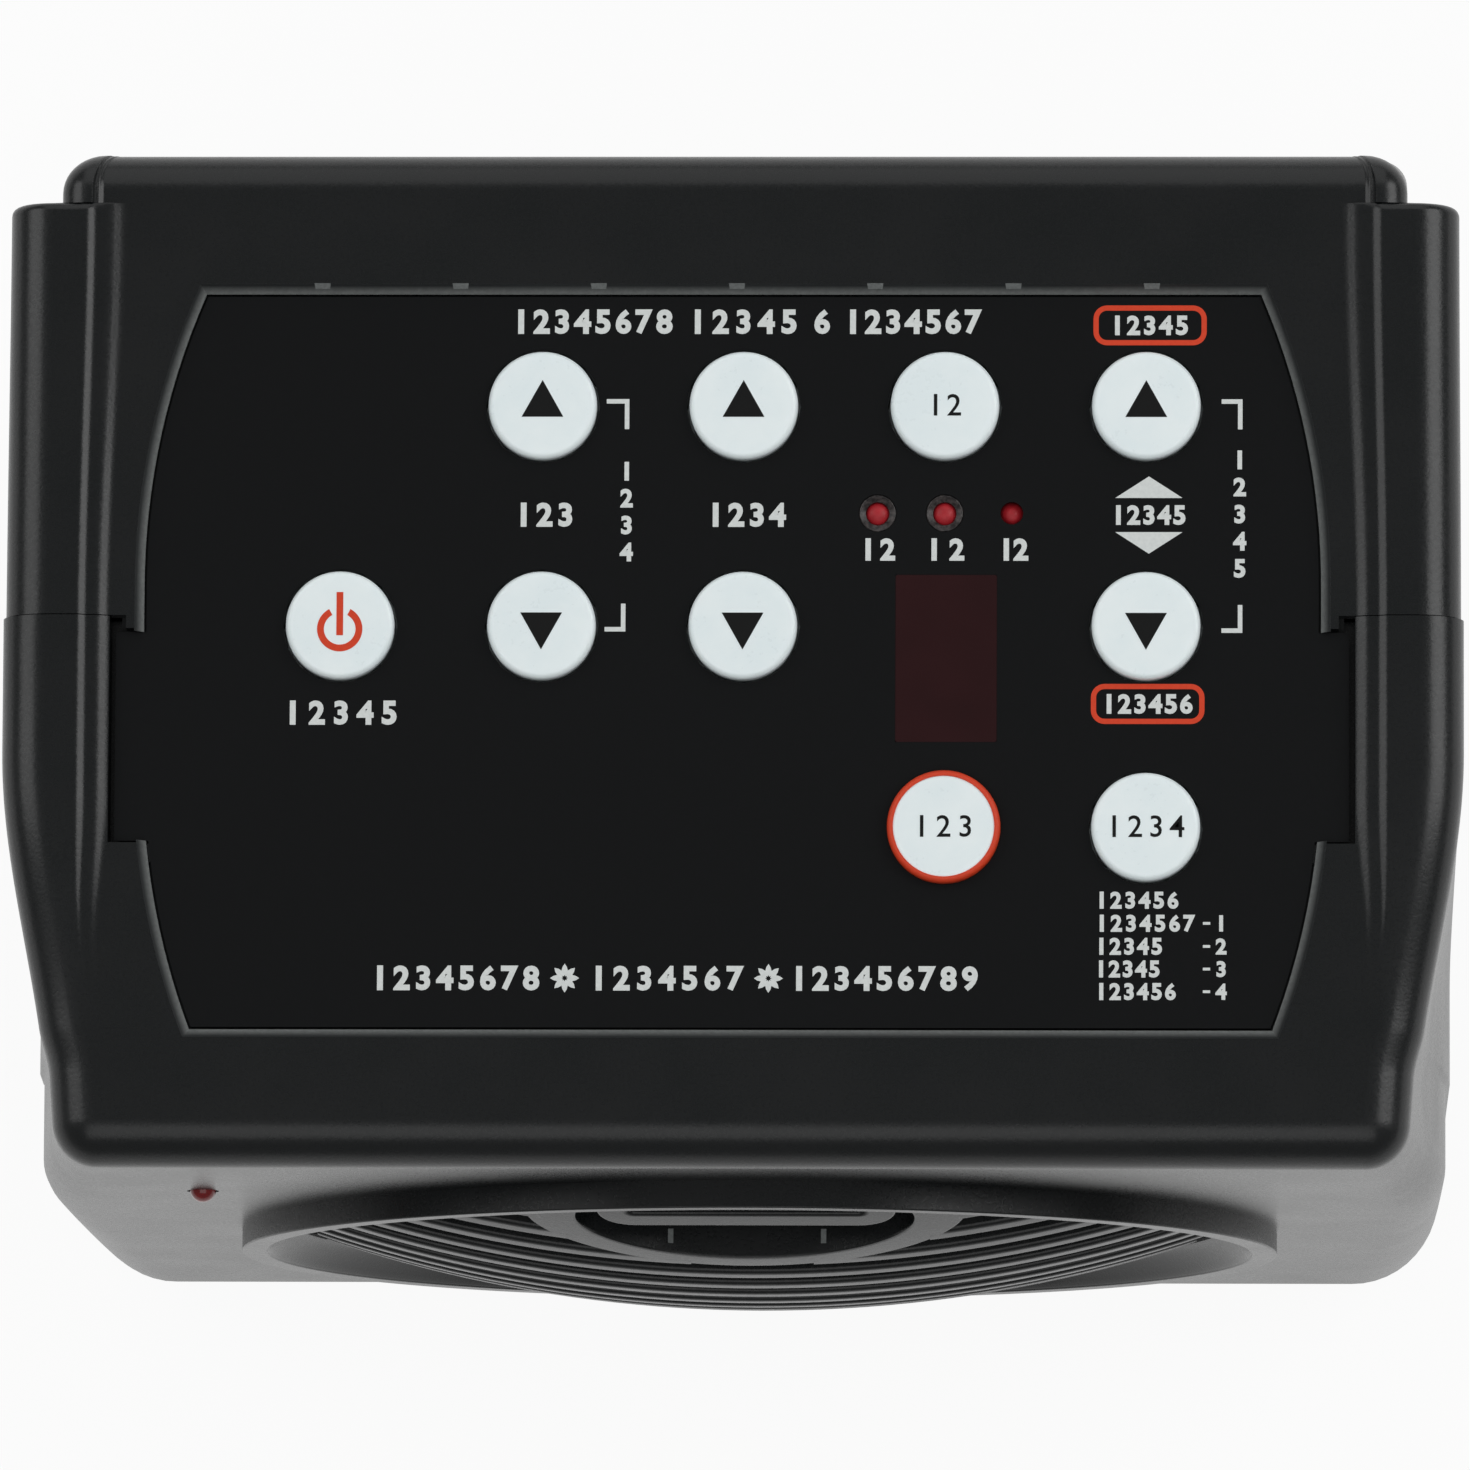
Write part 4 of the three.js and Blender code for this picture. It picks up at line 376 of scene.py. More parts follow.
# Black ABS with a 0.4 mm grain: charcoal with a cool cast, satin, lighter where it is seen along the surface.
shell_abs = moulded_abs("Satin black moulded ABS", "0f1213", "121415", 0.4, 0.02, 0.28)


def dress(made, body, finish, slot, *stands_for):
    """The piece's material, the body it moves with, its finish slot, which is not used, and the CAD nodes that it
    stands for.
    """
    made.data.materials.clear()
    made.data.materials.append(finish)
    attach(made, body)
    if stands_for:
        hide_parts(*stands_for)


def refinish(finish, *nodes):
    """A CAD node whose shape is right keeps it and gets a better material."""
    for name in nodes:
        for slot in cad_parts[name].material_slots:
            slot.material = finish


dress(rear_shell, "casing", shell_abs, "shell_black", "rear_shell")

# Main board and sockets
# A green glass-fibre board behind the rear wall carries the amplifier. Two sockets soldered to it look out through
# the wall: a wide one with a centre pin for power, and a small one for the line output.
board_green, tree, shader, place = material("Green solder mask on glass fibre")
weave = wire(tree, "TexWave", {"wave_type": "BANDS"}, Vector=place, Scale=1 / (1.2 * MM), Distortion=1.5, Detail=2.0)
threads = weave.outputs["Fac"]
tint = wire(tree, "Mix", COLOURS, Factor=threads, in6="17492c", in7="1f5f3a")
lift = wire(tree, "Bump", Height=threads, Strength=0.15, Distance=0.03 * MM)
feed(tree, shader, Base_Color=tint.outputs[2], Normal=lift, Roughness=0.35)
refinish(board_green, "main_board", "key_board")

# Glass-filled nylon: deeper black than the case and a little duller, with a coarse flow grain.
socket_nylon = moulded_abs("Black glass-filled nylon", "101111", "161717", 0.5, 0.02, 0.5)


def socket_skins(x, bore, width, height, pin):
    """A square body behind the wall, and a round nose with its bore, whose edges are rounded by 0.3 mm."""
    outer, mouth, depth = bore / 2 + 1.5, REAR_Y - 0.2, REAR_Y - 9
    nose = [
        (outer, 57.9), (outer, mouth - 0.3), (outer - 0.1, mouth - 0.1), (outer - 0.3, mouth), (bore / 2 + 0.3, mouth),
        (bore / 2 + 0.1, mouth - 0.1), (bore / 2, mouth - 0.3), (bore / 2, depth), (0, depth),
    ]
    body = block(
        (x - width / 2, x + width / 2), (46.7, depth - 0.02), (SOCKET_Z - height / 2, SOCKET_Z + height / 2)
    )
    skins = [turned(nose, (x, SOCKET_Z), "y", 48), body]
    if pin:
        tip, root = depth + 4.2, depth - 0.3
        run = [(0, tip), (pin / 2 - 0.4, tip), (pin / 2, tip - 0.4), (pin / 2, root), (0, root)]
        skins.append(turned(run, (x, SOCKET_Z), "y", 24))
    return skins


power_socket = solid("power_socket_body", *socket_skins(-22, 6.4, 9, 11, 2.0))
dress(power_socket, "casing", socket_nylon, "socket_black", "power_socket")
line_socket = solid("line_socket_body", *socket_skins(22, 3.6, 9, 9, 0))
dress(line_socket, "casing", socket_nylon, "socket_black", "line_socket")

# Battery bay
# Six cells lie in three rows under the rear of the case, between brass contact strips. A moulded door slides out to
# the rear on two runners.
CELL_ROW = 14.8
cell_film, tree, shader, place = material("Printed film on a dry cell")
scuff = wire(tree, "TexNoise", Vector=place, Scale=1 / (2.5 * MM), Detail=3.0)
ends = wire(tree, "Math", {"operation": "ABSOLUTE"}, in0=wire(tree, "SeparateXYZ", Vector=place))
band = wire(tree, "Math", {"operation": "GREATER_THAN"}, in0=ends, in1=36 * MM)
tint = wire(tree, "Mix", COLOURS, Factor=band, in6="2f557f", in7="b9772f")
gloss = wire(tree, "MapRange", in0=scuff, in3=0.22, in4=0.42)
feed(tree, shader, Base_Color=tint.outputs[2], Roughness=gloss, Metallic=0.35)
cell_profile = [(0, -24.6), (6.4, -24.6), (6.9, -24.4), (7.1, -24.0), (7.1, 23.6), (6.9, 24.2), (6.4, 24.5)]
cell_profile += [(2.9, 24.6), (2.7, 24.7), (2.7, 25.6), (2.4, 25.8), (0, 25.8)]
for row_number in range(3):
    way = -1 if row_number % 2 else 1
    centre = (BAY_YS[0] + 0.6 + 7.1 + row_number * CELL_ROW, 12.6)
    for hand, s in (("left", -1), ("right", 1)):
        middle = s * (49.2 + 1.2 + 0.3) / 2 - way * 0.6
        run = [(r, middle + way * along) for r, along in cell_profile]
        cell = solid(f"dry_cell_{hand}_{row_number + 1}", turned(run, centre, "x", 48))
        dress(cell, "casing", cell_film, "cell_sleeve", f"battery_cell_{hand}_{row_number + 1}")

contact_brass, tree, shader, place = material("Pressed spring brass")
rolled = wire(tree, "Mapping", Vector=place, Scale=(1, 40, 1))
streak = wire(tree, "TexNoise", Vector=rolled, Scale=1 / (8 * MM), Detail=3.0)
gloss = wire(tree, "MapRange", in0=streak, in3=0.22, in4=0.45)
feed(tree, shader, Base_Color="c49a4a", Metallic=1.0, Roughness=gloss)
refinish(contact_brass, "battery_contact_left", "battery_contact_right")
refinish(shell_abs, "battery_door")

# Front shell
# The front half of the case: the front wall, the cheeks that draw in to it, and a raised collar round the speaker.
# The same ABS from a second mould. Its corners are rounded by 5 mm at the top and 10 mm at the base.
TAPER_Y = FRONT_Y + 46
CHEEK_Y = FRONT_Y + 15.4
CHEEK_STEP = 0.5
FRONT_PART = PARTING_Y - 0.05
SPEAKER_X, SPEAKER_Z = 1.2, 64.0
LEAN = 0.0105  # the speaker's ring stands out less towards the top, by this share of the height
LAMP = (-59.6, 110.2)


def front_form(inset):
    """The front shell's form. Each side draws in towards the front along 3t² - 2t³, more at the top than at the
    base, and steps in by half a millimetre at the cheek, over 5 mm at the top and 1 mm lower down."""

    def down(z):
        return ease((CASE_TOP - z) / 60)

    def half_width(y, z):
        taper = 5.9 - 4.6 * down(z) - CHEEK_STEP
        length = 43 - 23 * down(z)
        step = 1 + 4 * ease((z - 95) / 35)
        cheek = CHEEK_STEP * ease((CHEEK_Y - y) / step)
        return CASE_HALF - inset - cheek - taper * ease((TAPER_Y - y) / length)

    def crest_offsets(y):
        """Towards the front the crest narrows, and its outer line bends over from straight to the drawn-in side: a
        soft minimum, -k ln(exp(-a/k) + exp(-b/k)), of the two."""
        side = half_width(y, CASE_TOP) - 5.3
        outer = -0.6 * np.logaddexp(-(CASE_HALF - CREST_FRONT[-1]) / 0.6, -side / 0.6)
        narrowed = 1 - 0.5 * ease((-12 - y) / 24)
        return CASE_HALF - outer + (evenly(CREST_FRONT) - CREST_FRONT[-1]) * narrowed

    def corner(z):
        low = np.minimum(1, (CASE_TOP - z) / (CASE_TOP - CASE_BASE))
        return TOP_RADIUS + 5 * low**2 - inset

    return shell_form(
        inset, -1, CREST_SHARES, face=FRONT_Y + inset, edge=TOP_RADIUS - inset, shoulder=TOP_RADIUS - inset,
        offsets=crest_offsets, corner=corner, rise=lambda y: 1 - ease((-12 - y) / 25), half_width=half_width,
    )


def front_skin(inset, start):
    """The front shell from its parting plane forward, with the cheek's step between two close rows of rings."""
    straight = [start, *np.linspace(TAPER_Y, CHEEK_Y, 24), *np.linspace(CHEEK_Y - 0.2, CHEEK_Y - 1, 5)]
    straight += np.linspace(CHEEK_Y - 1.8, FRONT_Y + 10.3, 5).tolist()
    return skin(case_rings(front_form(inset), straight, np.linspace(0, np.pi / 2, 12)))


def forward(profile, centre=(SPEAKER_X, SPEAKER_Z), sides=144, lean=LEAN):
    """A profile of (radius, distance out of the front face), turned about an axis that looks forward. It leans back
    towards the top, by a share of the height above its middle."""
    points, faces = turned([(r, FRONT_Y - f) for r, f in profile], centre, "y", sides)
    points[:, 1] -= lean * (points[:, 2] - centre[1])
    return points, faces


def arc(r, f, radius, start, end, steps=8):
    """Points of a circle about (r, f), from one angle to another in degrees."""
    a = np.radians(np.linspace(start, end, steps + 1))
    return np.column_stack([r + radius * np.cos(a), f + radius * np.sin(a)]).tolist()


def front_hole(radius, *place):
    """What is cut from the front wall for a round hole."""
    return forward([(0, -6), (radius, -6), (radius, 4), (0, 4)], *place)


front_shell = solid("front_shell_moulding", front_skin(0, FRONT_PART))
carve(front_shell, front_skin(WALL, FRONT_PART + 2), *opening_skins(), front_hole(56.2))
for s in (-1, 1):
    channel = block((s * 62.2, s * 71.4), (PANEL_Y - 13.9, FRONT_PART), (133.2, 138.5))
    slot_cut = block((s * 62.3, s * 68.6), (PANEL_Y - 11.9, FRONT_PART + 3), (135.4, 144))
    carve(front_shell, channel, way="UNION")
    carve(front_shell, slot_cut)
carve(front_shell, front_hole(1.8, LAMP, 40, 0))
# The collar: a lip with both edges rounded by 0.2 mm, and inside it a slope that steepens towards the grille.
slope = [(56.2 - 3 * t, 2.4 - 3.1 * (1 - (1 - t) ** 1.5)) for t in np.linspace(0.06, 1, 10)]
lip = arc(58.9, 2.25, 0.2, 0, 90, 4) + arc(56.45, 2.25, 0.2, 90, 170, 3)
collar_profile = [(59.1, -2.4)] + lip + slope + [(53.2, -2.4), (59.1, -2.4)]
carve(front_shell, forward(collar_profile), way="UNION")
weigh(front_shell)
dress(front_shell, "casing", shell_abs, "shell_black", "front_shell")

# Loudspeaker
# A pressed steel frame with a square flange, a paper cone with a rolled edge, a dust cap and a ferrite magnet. Four
# screws hold it behind the grille, and the slats let a little of it show.
steel_pressed, tree, shader, place = material("Zinc-plated pressed steel")
spangle = wire(tree, "TexVoronoi", Vector=place, Scale=1 / (3 * MM))
gloss = wire(tree, "MapRange", in0=spangle.outputs["Distance"], in3=0.28, in4=0.45)
feed(tree, shader, Base_Color="a6aaac", Metallic=1.0, Roughness=gloss)
refinish(steel_pressed, *[f"{kind}_screw_{k}" for kind in ("speaker", "case") for k in range(1, 5)])


def speckled(name, dark, light, grain, rough, detail=3.0, fray=0.5, lift=None, **sockets):
    """A finish whose colour wanders between two values, by a noise of the grain's size in millimetres. Roughness given
    as two values follows the same noise, and so does a lift, given as its strength and its depth."""
    made, tree, shader, place = material(name)
    noise = wire(tree, "TexNoise", Vector=place, Scale=1 / (grain * MM), Detail=detail, Roughness=fray)
    tint = wire(tree, "Mix", COLOURS, Factor=noise, in6=dark, in7=light)
    if isinstance(rough, tuple):
        rough = wire(tree, "MapRange", in0=noise, in3=rough[0], in4=rough[1])
    if lift:
        sockets["Normal"] = wire(tree, "Bump", Height=noise, Strength=lift[0], Distance=lift[1] * MM)
    feed(tree, shader, Base_Color=tint.outputs[2], Roughness=rough, **sockets)
    return made


# The frame's steel under black lacquer: even in colour, and half gloss.
lacquer_black = speckled("Black lacquer on pressed steel", "161717", "161717", 1.5, (0.3, 0.42), 2.0)
refinish(lacquer_black, "speaker_frame")
# Sintered ferrite: dull dark grey, with fine pits.
magnet_ferrite = speckled("Sintered ferrite", "3c3e40", "3c3e40", 0.6, 0.65, 4.0, lift=(0.4, 0.05))
refinish(magnet_ferrite, "speaker_magnet")
# Pulp paper dyed black: matt, mottled and rough with fibres.
cone_paper = speckled("Black pulp paper", "121212", "242424", 0.8, 0.9, 6.0, 0.7, (0.6, 0.08))
CONE_DEPTH = 14
NECK_RADIUS = 12.7
BASKET_RADIUS = 48.96
seat = -4.5 - 3.6 - 1.2
rim = BASKET_RADIUS - 1.2 - 0.3
edge, roll = rim - 2.6, rim - 2.6 - 3.2
cone_profile = (
    [(edge, seat), (rim - 1.3, seat + 0.9)] + arc(roll, seat + 0.9, 3.2, 0, 180, 12)
    + [(NECK_RADIUS, seat - CONE_DEPTH + 0.9), (NECK_RADIUS - 0.9, seat - CONE_DEPTH), (roll - 3.2, seat)]
    + arc(roll, seat + 0.9, 2.3, 180, 0, 12) + [(edge, seat)]
)
cone = solid("loudspeaker_cone", forward(cone_profile, sides=96))
dress(cone, "casing", cone_paper, "cone_paper", "speaker_cone")
cap_edge = seat - CONE_DEPTH + 0.9 + CONE_DEPTH / (BASKET_RADIUS - NECK_RADIUS) * 2.3 + 1.2
cap_profile = [(15 * r, cap_edge + 5 * f) for r, f in arc(0, 0, 1, 90, 0, 11)]
cap_profile += [(NECK_RADIUS, cap_edge - 0.3), (0, cap_edge - 0.3)]
cap = solid("loudspeaker_dust_cap", forward(cap_profile, sides=72))
dress(cap, "casing", cone_paper, "cone_paper", "speaker_dust_cap")

# Grille
# A dome of level slats in a round rim, moulded in one with an oval seat for a badge. It drops in from behind, and its
# flange lies between the front wall and the loudspeaker.
DOME = 160.0
GRILLE_RADIUS = 52.9
REACH = 50.8  # the slats' ends run into the rim
SLAT_HALF = 1.3
BADGE_X = -0.5
BADGE_UP = 40.5


def dome(r):
    """How far the dome stands out of the front face: a sphere of 160 mm, whose edge lies 0.7 mm behind the face."""
    return -0.7 + np.sqrt(DOME**2 - np.square(r)) - np.sqrt(DOME**2 - GRILLE_RADIUS**2)


def set_out(x, up, out):
    """Points at (x, up) from the grille's middle that stand out of the front face, with the collar's lean."""
    return np.stack([SPEAKER_X + x + 0 * out, FRONT_Y - out - LEAN * up, SPEAKER_Z + up + 0 * out], axis=-1)


def section(half, radius, deep):
    """A bar's section as its places across and its depths: two front edges with a quarter circle each."""
    a = np.radians(np.linspace(0, 90, 5))
    flat = half - radius
    across = np.concatenate([[-half], -flat - radius * np.cos(a), flat + radius * np.sin(a), [half]])
    return across, np.concatenate([[deep], radius - radius * np.sin(a), radius - radius * np.cos(a), [deep]])


def slat(up, start, end, count=41):
    """A level bar carried along the dome from start to end."""
    across, depth = section(SLAT_HALF, 0.6, 3.0)
    x = np.linspace(start, end, count)[:, None]
    return skin(set_out(x, up + across, dome(np.hypot(x, up + across)) - depth))


def bridge(path, deep):
    """A bar carried along a path of (x, up). It follows the dome upwards but stays level sideways, and a point across
    it stands off the path along the path's normal."""
    along = np.gradient(path, axis=0)
    along /= np.linalg.norm(along, axis=1, keepdims=True)
    across, depth = section(1.65, 0.4, deep)
    x = path[:, :1] - along[:, 1:] * across
    up = path[:, 1:] + along[:, :1] * across
    return skin(set_out(x, up, dome(np.abs(up)) - depth))


# The slats run from rim to rim, or from the rim to the badge seat.
bars = []
for up in -2.2 + 5.94 * np.arange(-8, 9):
    if abs(up) + SLAT_HALF >= REACH:
        continue
    chord = np.sqrt(REACH**2 - (abs(up) + SLAT_HALF) ** 2)
    gap = 1 - ((up - BADGE_UP) / 13.6) ** 2
    edge = 23.5 * np.sqrt(max(gap, 0))
    bars += [slat(up, s * edge, s * chord, 15) for s in (-1, 1)] if gap > 0 else [slat(up, -chord, chord)]

# The seat's rings have a half width, a half height, a depth behind the dome and a farthest stand-out. They go from the
# back over the rounded outer edge, down the inner wall, on to the flat floor and round its back.
round_edge = [(25 - 0.7 * (1 - c), 14.4 - 0.7 * (1 - c), 0.7 * (1 - s), 9) for c, s in arc(0, 0, 1, 0, 90, 5)]
seat_rings = [(25, 14.4, 5.2, 9), *round_edge, (19.3, 11.1, 0, 9), (19.0, 10.85, 0.1, 9), (18.9, 10.77, 0.4, 9)]
seat_rings += [(18.75, 10.7, 0.8, -1.6), (0.01, 0.01, 0.8, -1.6), (0.01, 0.01, 9, -3.2), (20.2, 11.8, 9, -3.2)]
seat_rings += [(25, 14.4, 5.2, 9)]
wide, high, depth, farthest = np.array(seat_rings).T[:, :, None]
a = np.linspace(0, 2 * np.pi, 120, endpoint=False)
x, up = BADGE_X + wide * np.cos(a), BADGE_UP + high * np.sin(a)
pull = np.minimum(1, (GRILLE_RADIUS - 0.3) / np.hypot(x, up))
x, up = x * pull, up * pull
out = np.clip(dome(np.hypot(x, up)) - depth, -4.2, farthest)
badge_seat = skin(set_out(x, up, out), capped=False)

# The bridge across the seat: down one side, round a corner of 2.7 mm, across and up again.
corner = np.array(arc(-12.4, 45.55, 2.7, 180, 270, 9))
level = [(t, 42.85) for t in np.linspace(-10, 10, 9)]
path = np.concatenate([[(-15.1, 48.4)], corner, level, corner[::-1] * [-1, 1], [(15.1, 48.4)]])
crossing = bridge(path + [BADGE_X + 0.3, 0], 2.0)
u = np.linspace(-REACH, 27.5, 40)[:, None]
s, d = np.array([(-0.8, 0), (0.8, 0), (0.8, 1.4), (-0.8, 1.4)]).T
stiffener = skin(set_out(s + 0 * u, u + 0 * s, dome(np.abs(u)) - 2.7 - d))
rim_profile = [
    (50.2, -4.2), (50.2, -1.4), (50.45, -1.1), (52.4, -1.0), (52.75, -1.15), (52.9, -1.45), (52.9, -2.7), (55.5, -2.7),
    (55.5, -4.2), (50.2, -4.2),
]
grille = solid("grille_moulding", forward(rim_profile))
carve(grille, badge_seat, *bars, stiffener, crossing, way="UNION")
weigh(grille)
dress(grille, "casing", shell_abs, "shell_black", "speaker_grille")

# Power lamp
# A 3 mm red lamp on its back in the front wall. Its dome stands out by just over a millimetre. It is coloured epoxy,
# unlit: a deep red that is lighter in clouds, under a glossy skin.
lamp_red = speckled("Red epoxy", "600a0e", "941318", 1.1, (0.12, 0.24), 2.0, IOR=1.54, Coat_Weight=0.4)


def lamp_profile(tip, foot):
    """A lamp's body along its axis: a dome of 1.5 mm on a straight side, and a 3.8 mm flange at its foot."""
    flange = tip - 4.3
    stem = [(1.5, flange), (1.9, flange), (1.9, flange - 1), (0.3, flange - 1), (0.3, foot), (0, foot)]
    return arc(0, tip - 1.5, 1.5, 90, 0) + stem


power_lamp = solid("power_lamp", forward(lamp_profile(1.25, -12), LAMP, 40, 0))
dress(power_lamp, "casing", lamp_red, "lamp_red", "power_led")

# Control plate and printed sheet
# A moulded plate under the frame, and on it a black printed polycarbonate sheet with a tab in each side's slot.
plate_abs = moulded_abs("Matt black moulded ABS", "181a1b", "1e2121", 0.4, 0.02, 0.55)
refinish(plate_abs, "control_plate")
refinish(socket_nylon, "display_module")
PITCH = 22.2
COLUMNS = 1.2 + PITCH * np.arange(-2, 3)
ROWS = PANEL_Y + np.array([36.8, 12.3, -10.0])
KEYS = {
    "volume_up": (1, 0), "tone_up": (2, 0), "string": (3, 0), "pitch_up": (4, 0), "power": (0, 1),
    "volume_down": (1, 1), "tone_down": (2, 1), "pitch_down": (4, 1), "memory": (3, 2), "mode": (4, 2),
}
LAMP_SIDES = {"left": -1, "middle": 0, "right": 1}
WINDOW = (COLUMNS[3] + 0.2, PANEL_Y + 8.75)
WINDOW_HALVES = (5.6, 9.3)
key_places = {name: (COLUMNS[c], ROWS[r]) for name, (c, r) in KEYS.items()}
lamp_places = {name: (COLUMNS[3] + s * 7.4, PANEL_Y + 24.9) for name, s in LAMP_SIDES.items()}

label = solid("printed_sheet", prism(panel_outline(-0.3, tab=True), LABEL_TOP - 0.3, LABEL_TOP))
holes = [rod(6.3, (138, 139.5), place) for place in key_places.values()]
for name, place in lamp_places.items():
    holes.append(rod(1.25 if name == "right" else 2.1, (138, 139.5), place, sides=40))
holes.append(block(*[(c - h, c + h) for c, h in zip(WINDOW, WINDOW_HALVES)], (138, 139.5)))
carve(label, *holes)

# Reverse-printed polycarbonate with a velvet face: near black, with a fine tooth that scatters the light.
label_film = speckled(
    "Velvet polycarbonate film", "0f1011", "131415", 0.35, (0.4, 0.5), 3.0, 0.6, (0.35, 0.02), Specular_IOR_Level=0.14
)
dress(label, "casing", label_film, "label_print", "panel_label")

# Frame edge
# The slope round the panel's opening, rough, with a painted highlight that makes it pale towards its foot, the seven
# small marks of its gates along the rear, and two pale blocks in the grille's badge seat that are painted highlights.
highlighted_edge_abs, tree, shader, place = material("Gritty black ABS edge with a painted highlight at its foot")
grit = wire(tree, "TexNoise", Vector=place, Scale=1 / (0.5 * MM), Detail=5.0, Roughness=0.75)
height = wire(tree, "SeparateXYZ", Vector=place)
# Painted highlight: the slope's colour runs from dark at its head to pale at its foot beside the sheet, mottled by the
# grit.
foot = wire(tree, "MapRange", in0=height.outputs[2], in1=139.85 * MM, in2=139.1 * MM)
grit_mottle = wire(tree, "MapRange", in0=grit, in1=0.3, in2=0.7, in3=0.6, in4=1.0)
pale = wire(tree, "Math", {"operation": "MULTIPLY"}, in0=foot, in1=grit_mottle)
tint = wire(tree, "Mix", COLOURS, Factor=pale, in6="1c1f20", in7="747776")
lift = wire(tree, "Bump", Height=grit, Strength=0.5, Distance=0.05 * MM)
feed(tree, shader, Base_Color=tint.outputs[2], Roughness=0.6, Normal=lift)


def edge_strip(run):
    """A strip 0.04 mm thick on the slope, between the outlines at its foot and at its head, along the given run."""
    low, high = panel_outline(0.0), panel_outline(CHAMFER)
    inwards = (low - high) / np.maximum(np.linalg.norm(low - high, axis=1, keepdims=True), 1e-6) * 0.04
    foot, head = LABEL_TOP + 0.02, CASE_TOP
    outlines = [line[run] for line in (low, high, high + inwards, low + inwards)]
    return skin(level_rows(outlines, (foot, head, head + 0.04, foot + 0.04)).swapaxes(0, 1))


corners = np.arange(4 * PANEL_STEPS)
front_run, rear_run = np.roll(corners, PANEL_STEPS)[: 2 * PANEL_STEPS], corners[PANEL_STEPS : 3 * PANEL_STEPS]
edge = solid("frame_edge", edge_strip(front_run), edge_strip(rear_run))
dress(edge, "casing", highlighted_edge_abs, "shell_black")
marks = []
for x in np.linspace(-45.4, 46.2, 7):
    ring = np.array([(x - 0.9, 45.3), (x + 0.9, 45.3), (x + 0.8, 44.75), (x - 0.8, 44.75)])
    rows = [np.column_stack([ring, base + np.array([0.63, 0.63, 0, 0])]) for base in (139.4, 139.52)]
    marks.append(skin(np.stack(rows)))
# Two pale blocks on the lower wall of the badge seat stand for the lit edges of its steps: painted highlights.
for x in (-8.6, 8.6):
    middle = SPEAKER_X + BADGE_X + x
    ys, zs = (FRONT_Y - 4.2, FRONT_Y - 2.6), (SPEAKER_Z + 30.3, SPEAKER_Z + 31.2)
    marks.append(block((middle - 0.3, middle + 0.3), ys, zs))
# Pale grey: the gate marks' own colour, and a painted highlight on the two blocks in the badge seat.
gate_and_highlight_abs = speckled("Pale gate marks and painted highlights on black ABS", "565a5a", "8a8e8d", 0.3, 0.7)
dress(solid("gate_marks_and_painted_highlights", *marks), "casing", gate_and_highlight_abs, "shell_black")

# Print on the sheet
# White and red screen ink 0.03 mm thick: brackets that pair the keys, frames, arrows and plain numbers.
INK = (LABEL_TOP - 0.01, LABEL_TOP + 0.03)
COUNT = "123456789"


def rounded(x, y, width, height, radius, steps=8):
    """A rounded rectangle: a quarter circle at each corner."""
    a = np.linspace(0, np.pi / 2, steps)
    turn = np.concatenate([a + k * np.pi / 2 for k in range(4)])
    sx, sy = np.repeat([1, -1, -1, 1], steps), np.repeat([1, 1, -1, -1], steps)
    return np.column_stack([
        x + sx * (width / 2 - radius) + radius * np.cos(turn), y + sy * (height / 2 - radius) + radius * np.sin(turn),
    ])


def ring_rows(outer, inner, zs):
    """The corners of a flat band between two outlines of equally many points: up, across, down and back."""
    return level_rows((outer, outer, inner, inner), (zs[0], zs[1], zs[1], zs[0]))


def band_between(outer, inner):
    """A closed band of ink between two outlines."""
    rows = ring_rows(outer, inner, INK)
    return skin(np.concatenate([rows, rows[:1]]), capped=False)


def number(text, x, y, height, zs=INK, weight=0.042):
    """Plain figures in Blender's own typeface, thickened, made a mesh, set to the height and centred on (x, y)."""
    letters = bpy.data.curves.new("figures", "FONT")
    letters.body, letters.extrude, letters.offset, letters.resolution_u = text, 0.1, weight, 4
    holder = add_object("figures", letters)
    shape = shape_of(holder)
    points = np.empty(len(shape.vertices) * 3)
    shape.vertices.foreach_get("co", points)
    points = points.reshape(-1, 3)
    low, high = points.min(axis=0), points.max(axis=0)
    size = height / (high[1] - low[1])
    flat = (points[:, :2] - (low + high)[:2] / 2) * size + (x, y)
    raised = np.where(points[:, 2] > 0, zs[1], zs[0])
    faces = [list(face.vertices) for face in shape.polygons]
    bpy.data.objects.remove(holder)
    bpy.data.meshes.remove(shape)
    return np.column_stack([flat, raised]), faces


def row(figures, x0, x1, y, height, *ink):
    """Figures spaced evenly so that the row runs from x0 to x1."""
    middles = x0 + (x1 - x0) * ((np.arange(len(figures)) + 0.5) / len(figures))
    return [number(figure, x, y, height, *ink) for figure, x in zip(figures, middles)]


def star(x, y, radius):
    """An eight-pointed ornament: the radius swings between its tips and 0.56 of it."""
    a = np.arange(32) * np.pi / 16
    r = radius * (0.78 + 0.22 * np.cos(8 * a))
    line = np.column_stack([r * np.cos(a), r * np.sin(a)])
    return band_between((x, y) + line, (x, y) + 0.22 * line)


def bracket(x0, x1, y0, y1, stroke=0.5):
    """A bar from x0 to the corner at x1, and one on from it, from the height y0 to y1."""
    t = stroke if y1 > y0 else -stroke
    return prism(np.array([(x0, y0), (x1, y0), (x1, y1), (x1 - stroke, y1), (x1 - stroke, y0 + t), (x0, y0 + t)]), *INK)


def pill(x, y):
    """A frame round a word: 12.5 by 4.45 mm, with a line 0.58 mm wide."""
    return band_between(rounded(x, y, 12.5, 4.45, 1.5), rounded(x, y, 11.34, 3.29, 0.92))


white = [
    bracket(-13.95, -11.45, 32.55, 29.2), bracket(-14.05, -11.75, 6.65, 9.75),
    bracket(53.9, 56.2, 32.55, 29.2), bracket(53.9, 56.2, 6.55, 9.65),
    prism(np.array([(42.2, 21.55), (49.6, 21.55), (45.9, 23.95)]), *INK),
    prism(np.array([(42.2, 17.75), (45.9, 15.35), (49.6, 17.75)]), *INK),
    star(-18.2, -31.8, 1.6), star(4.2, -31.8, 1.6),
]
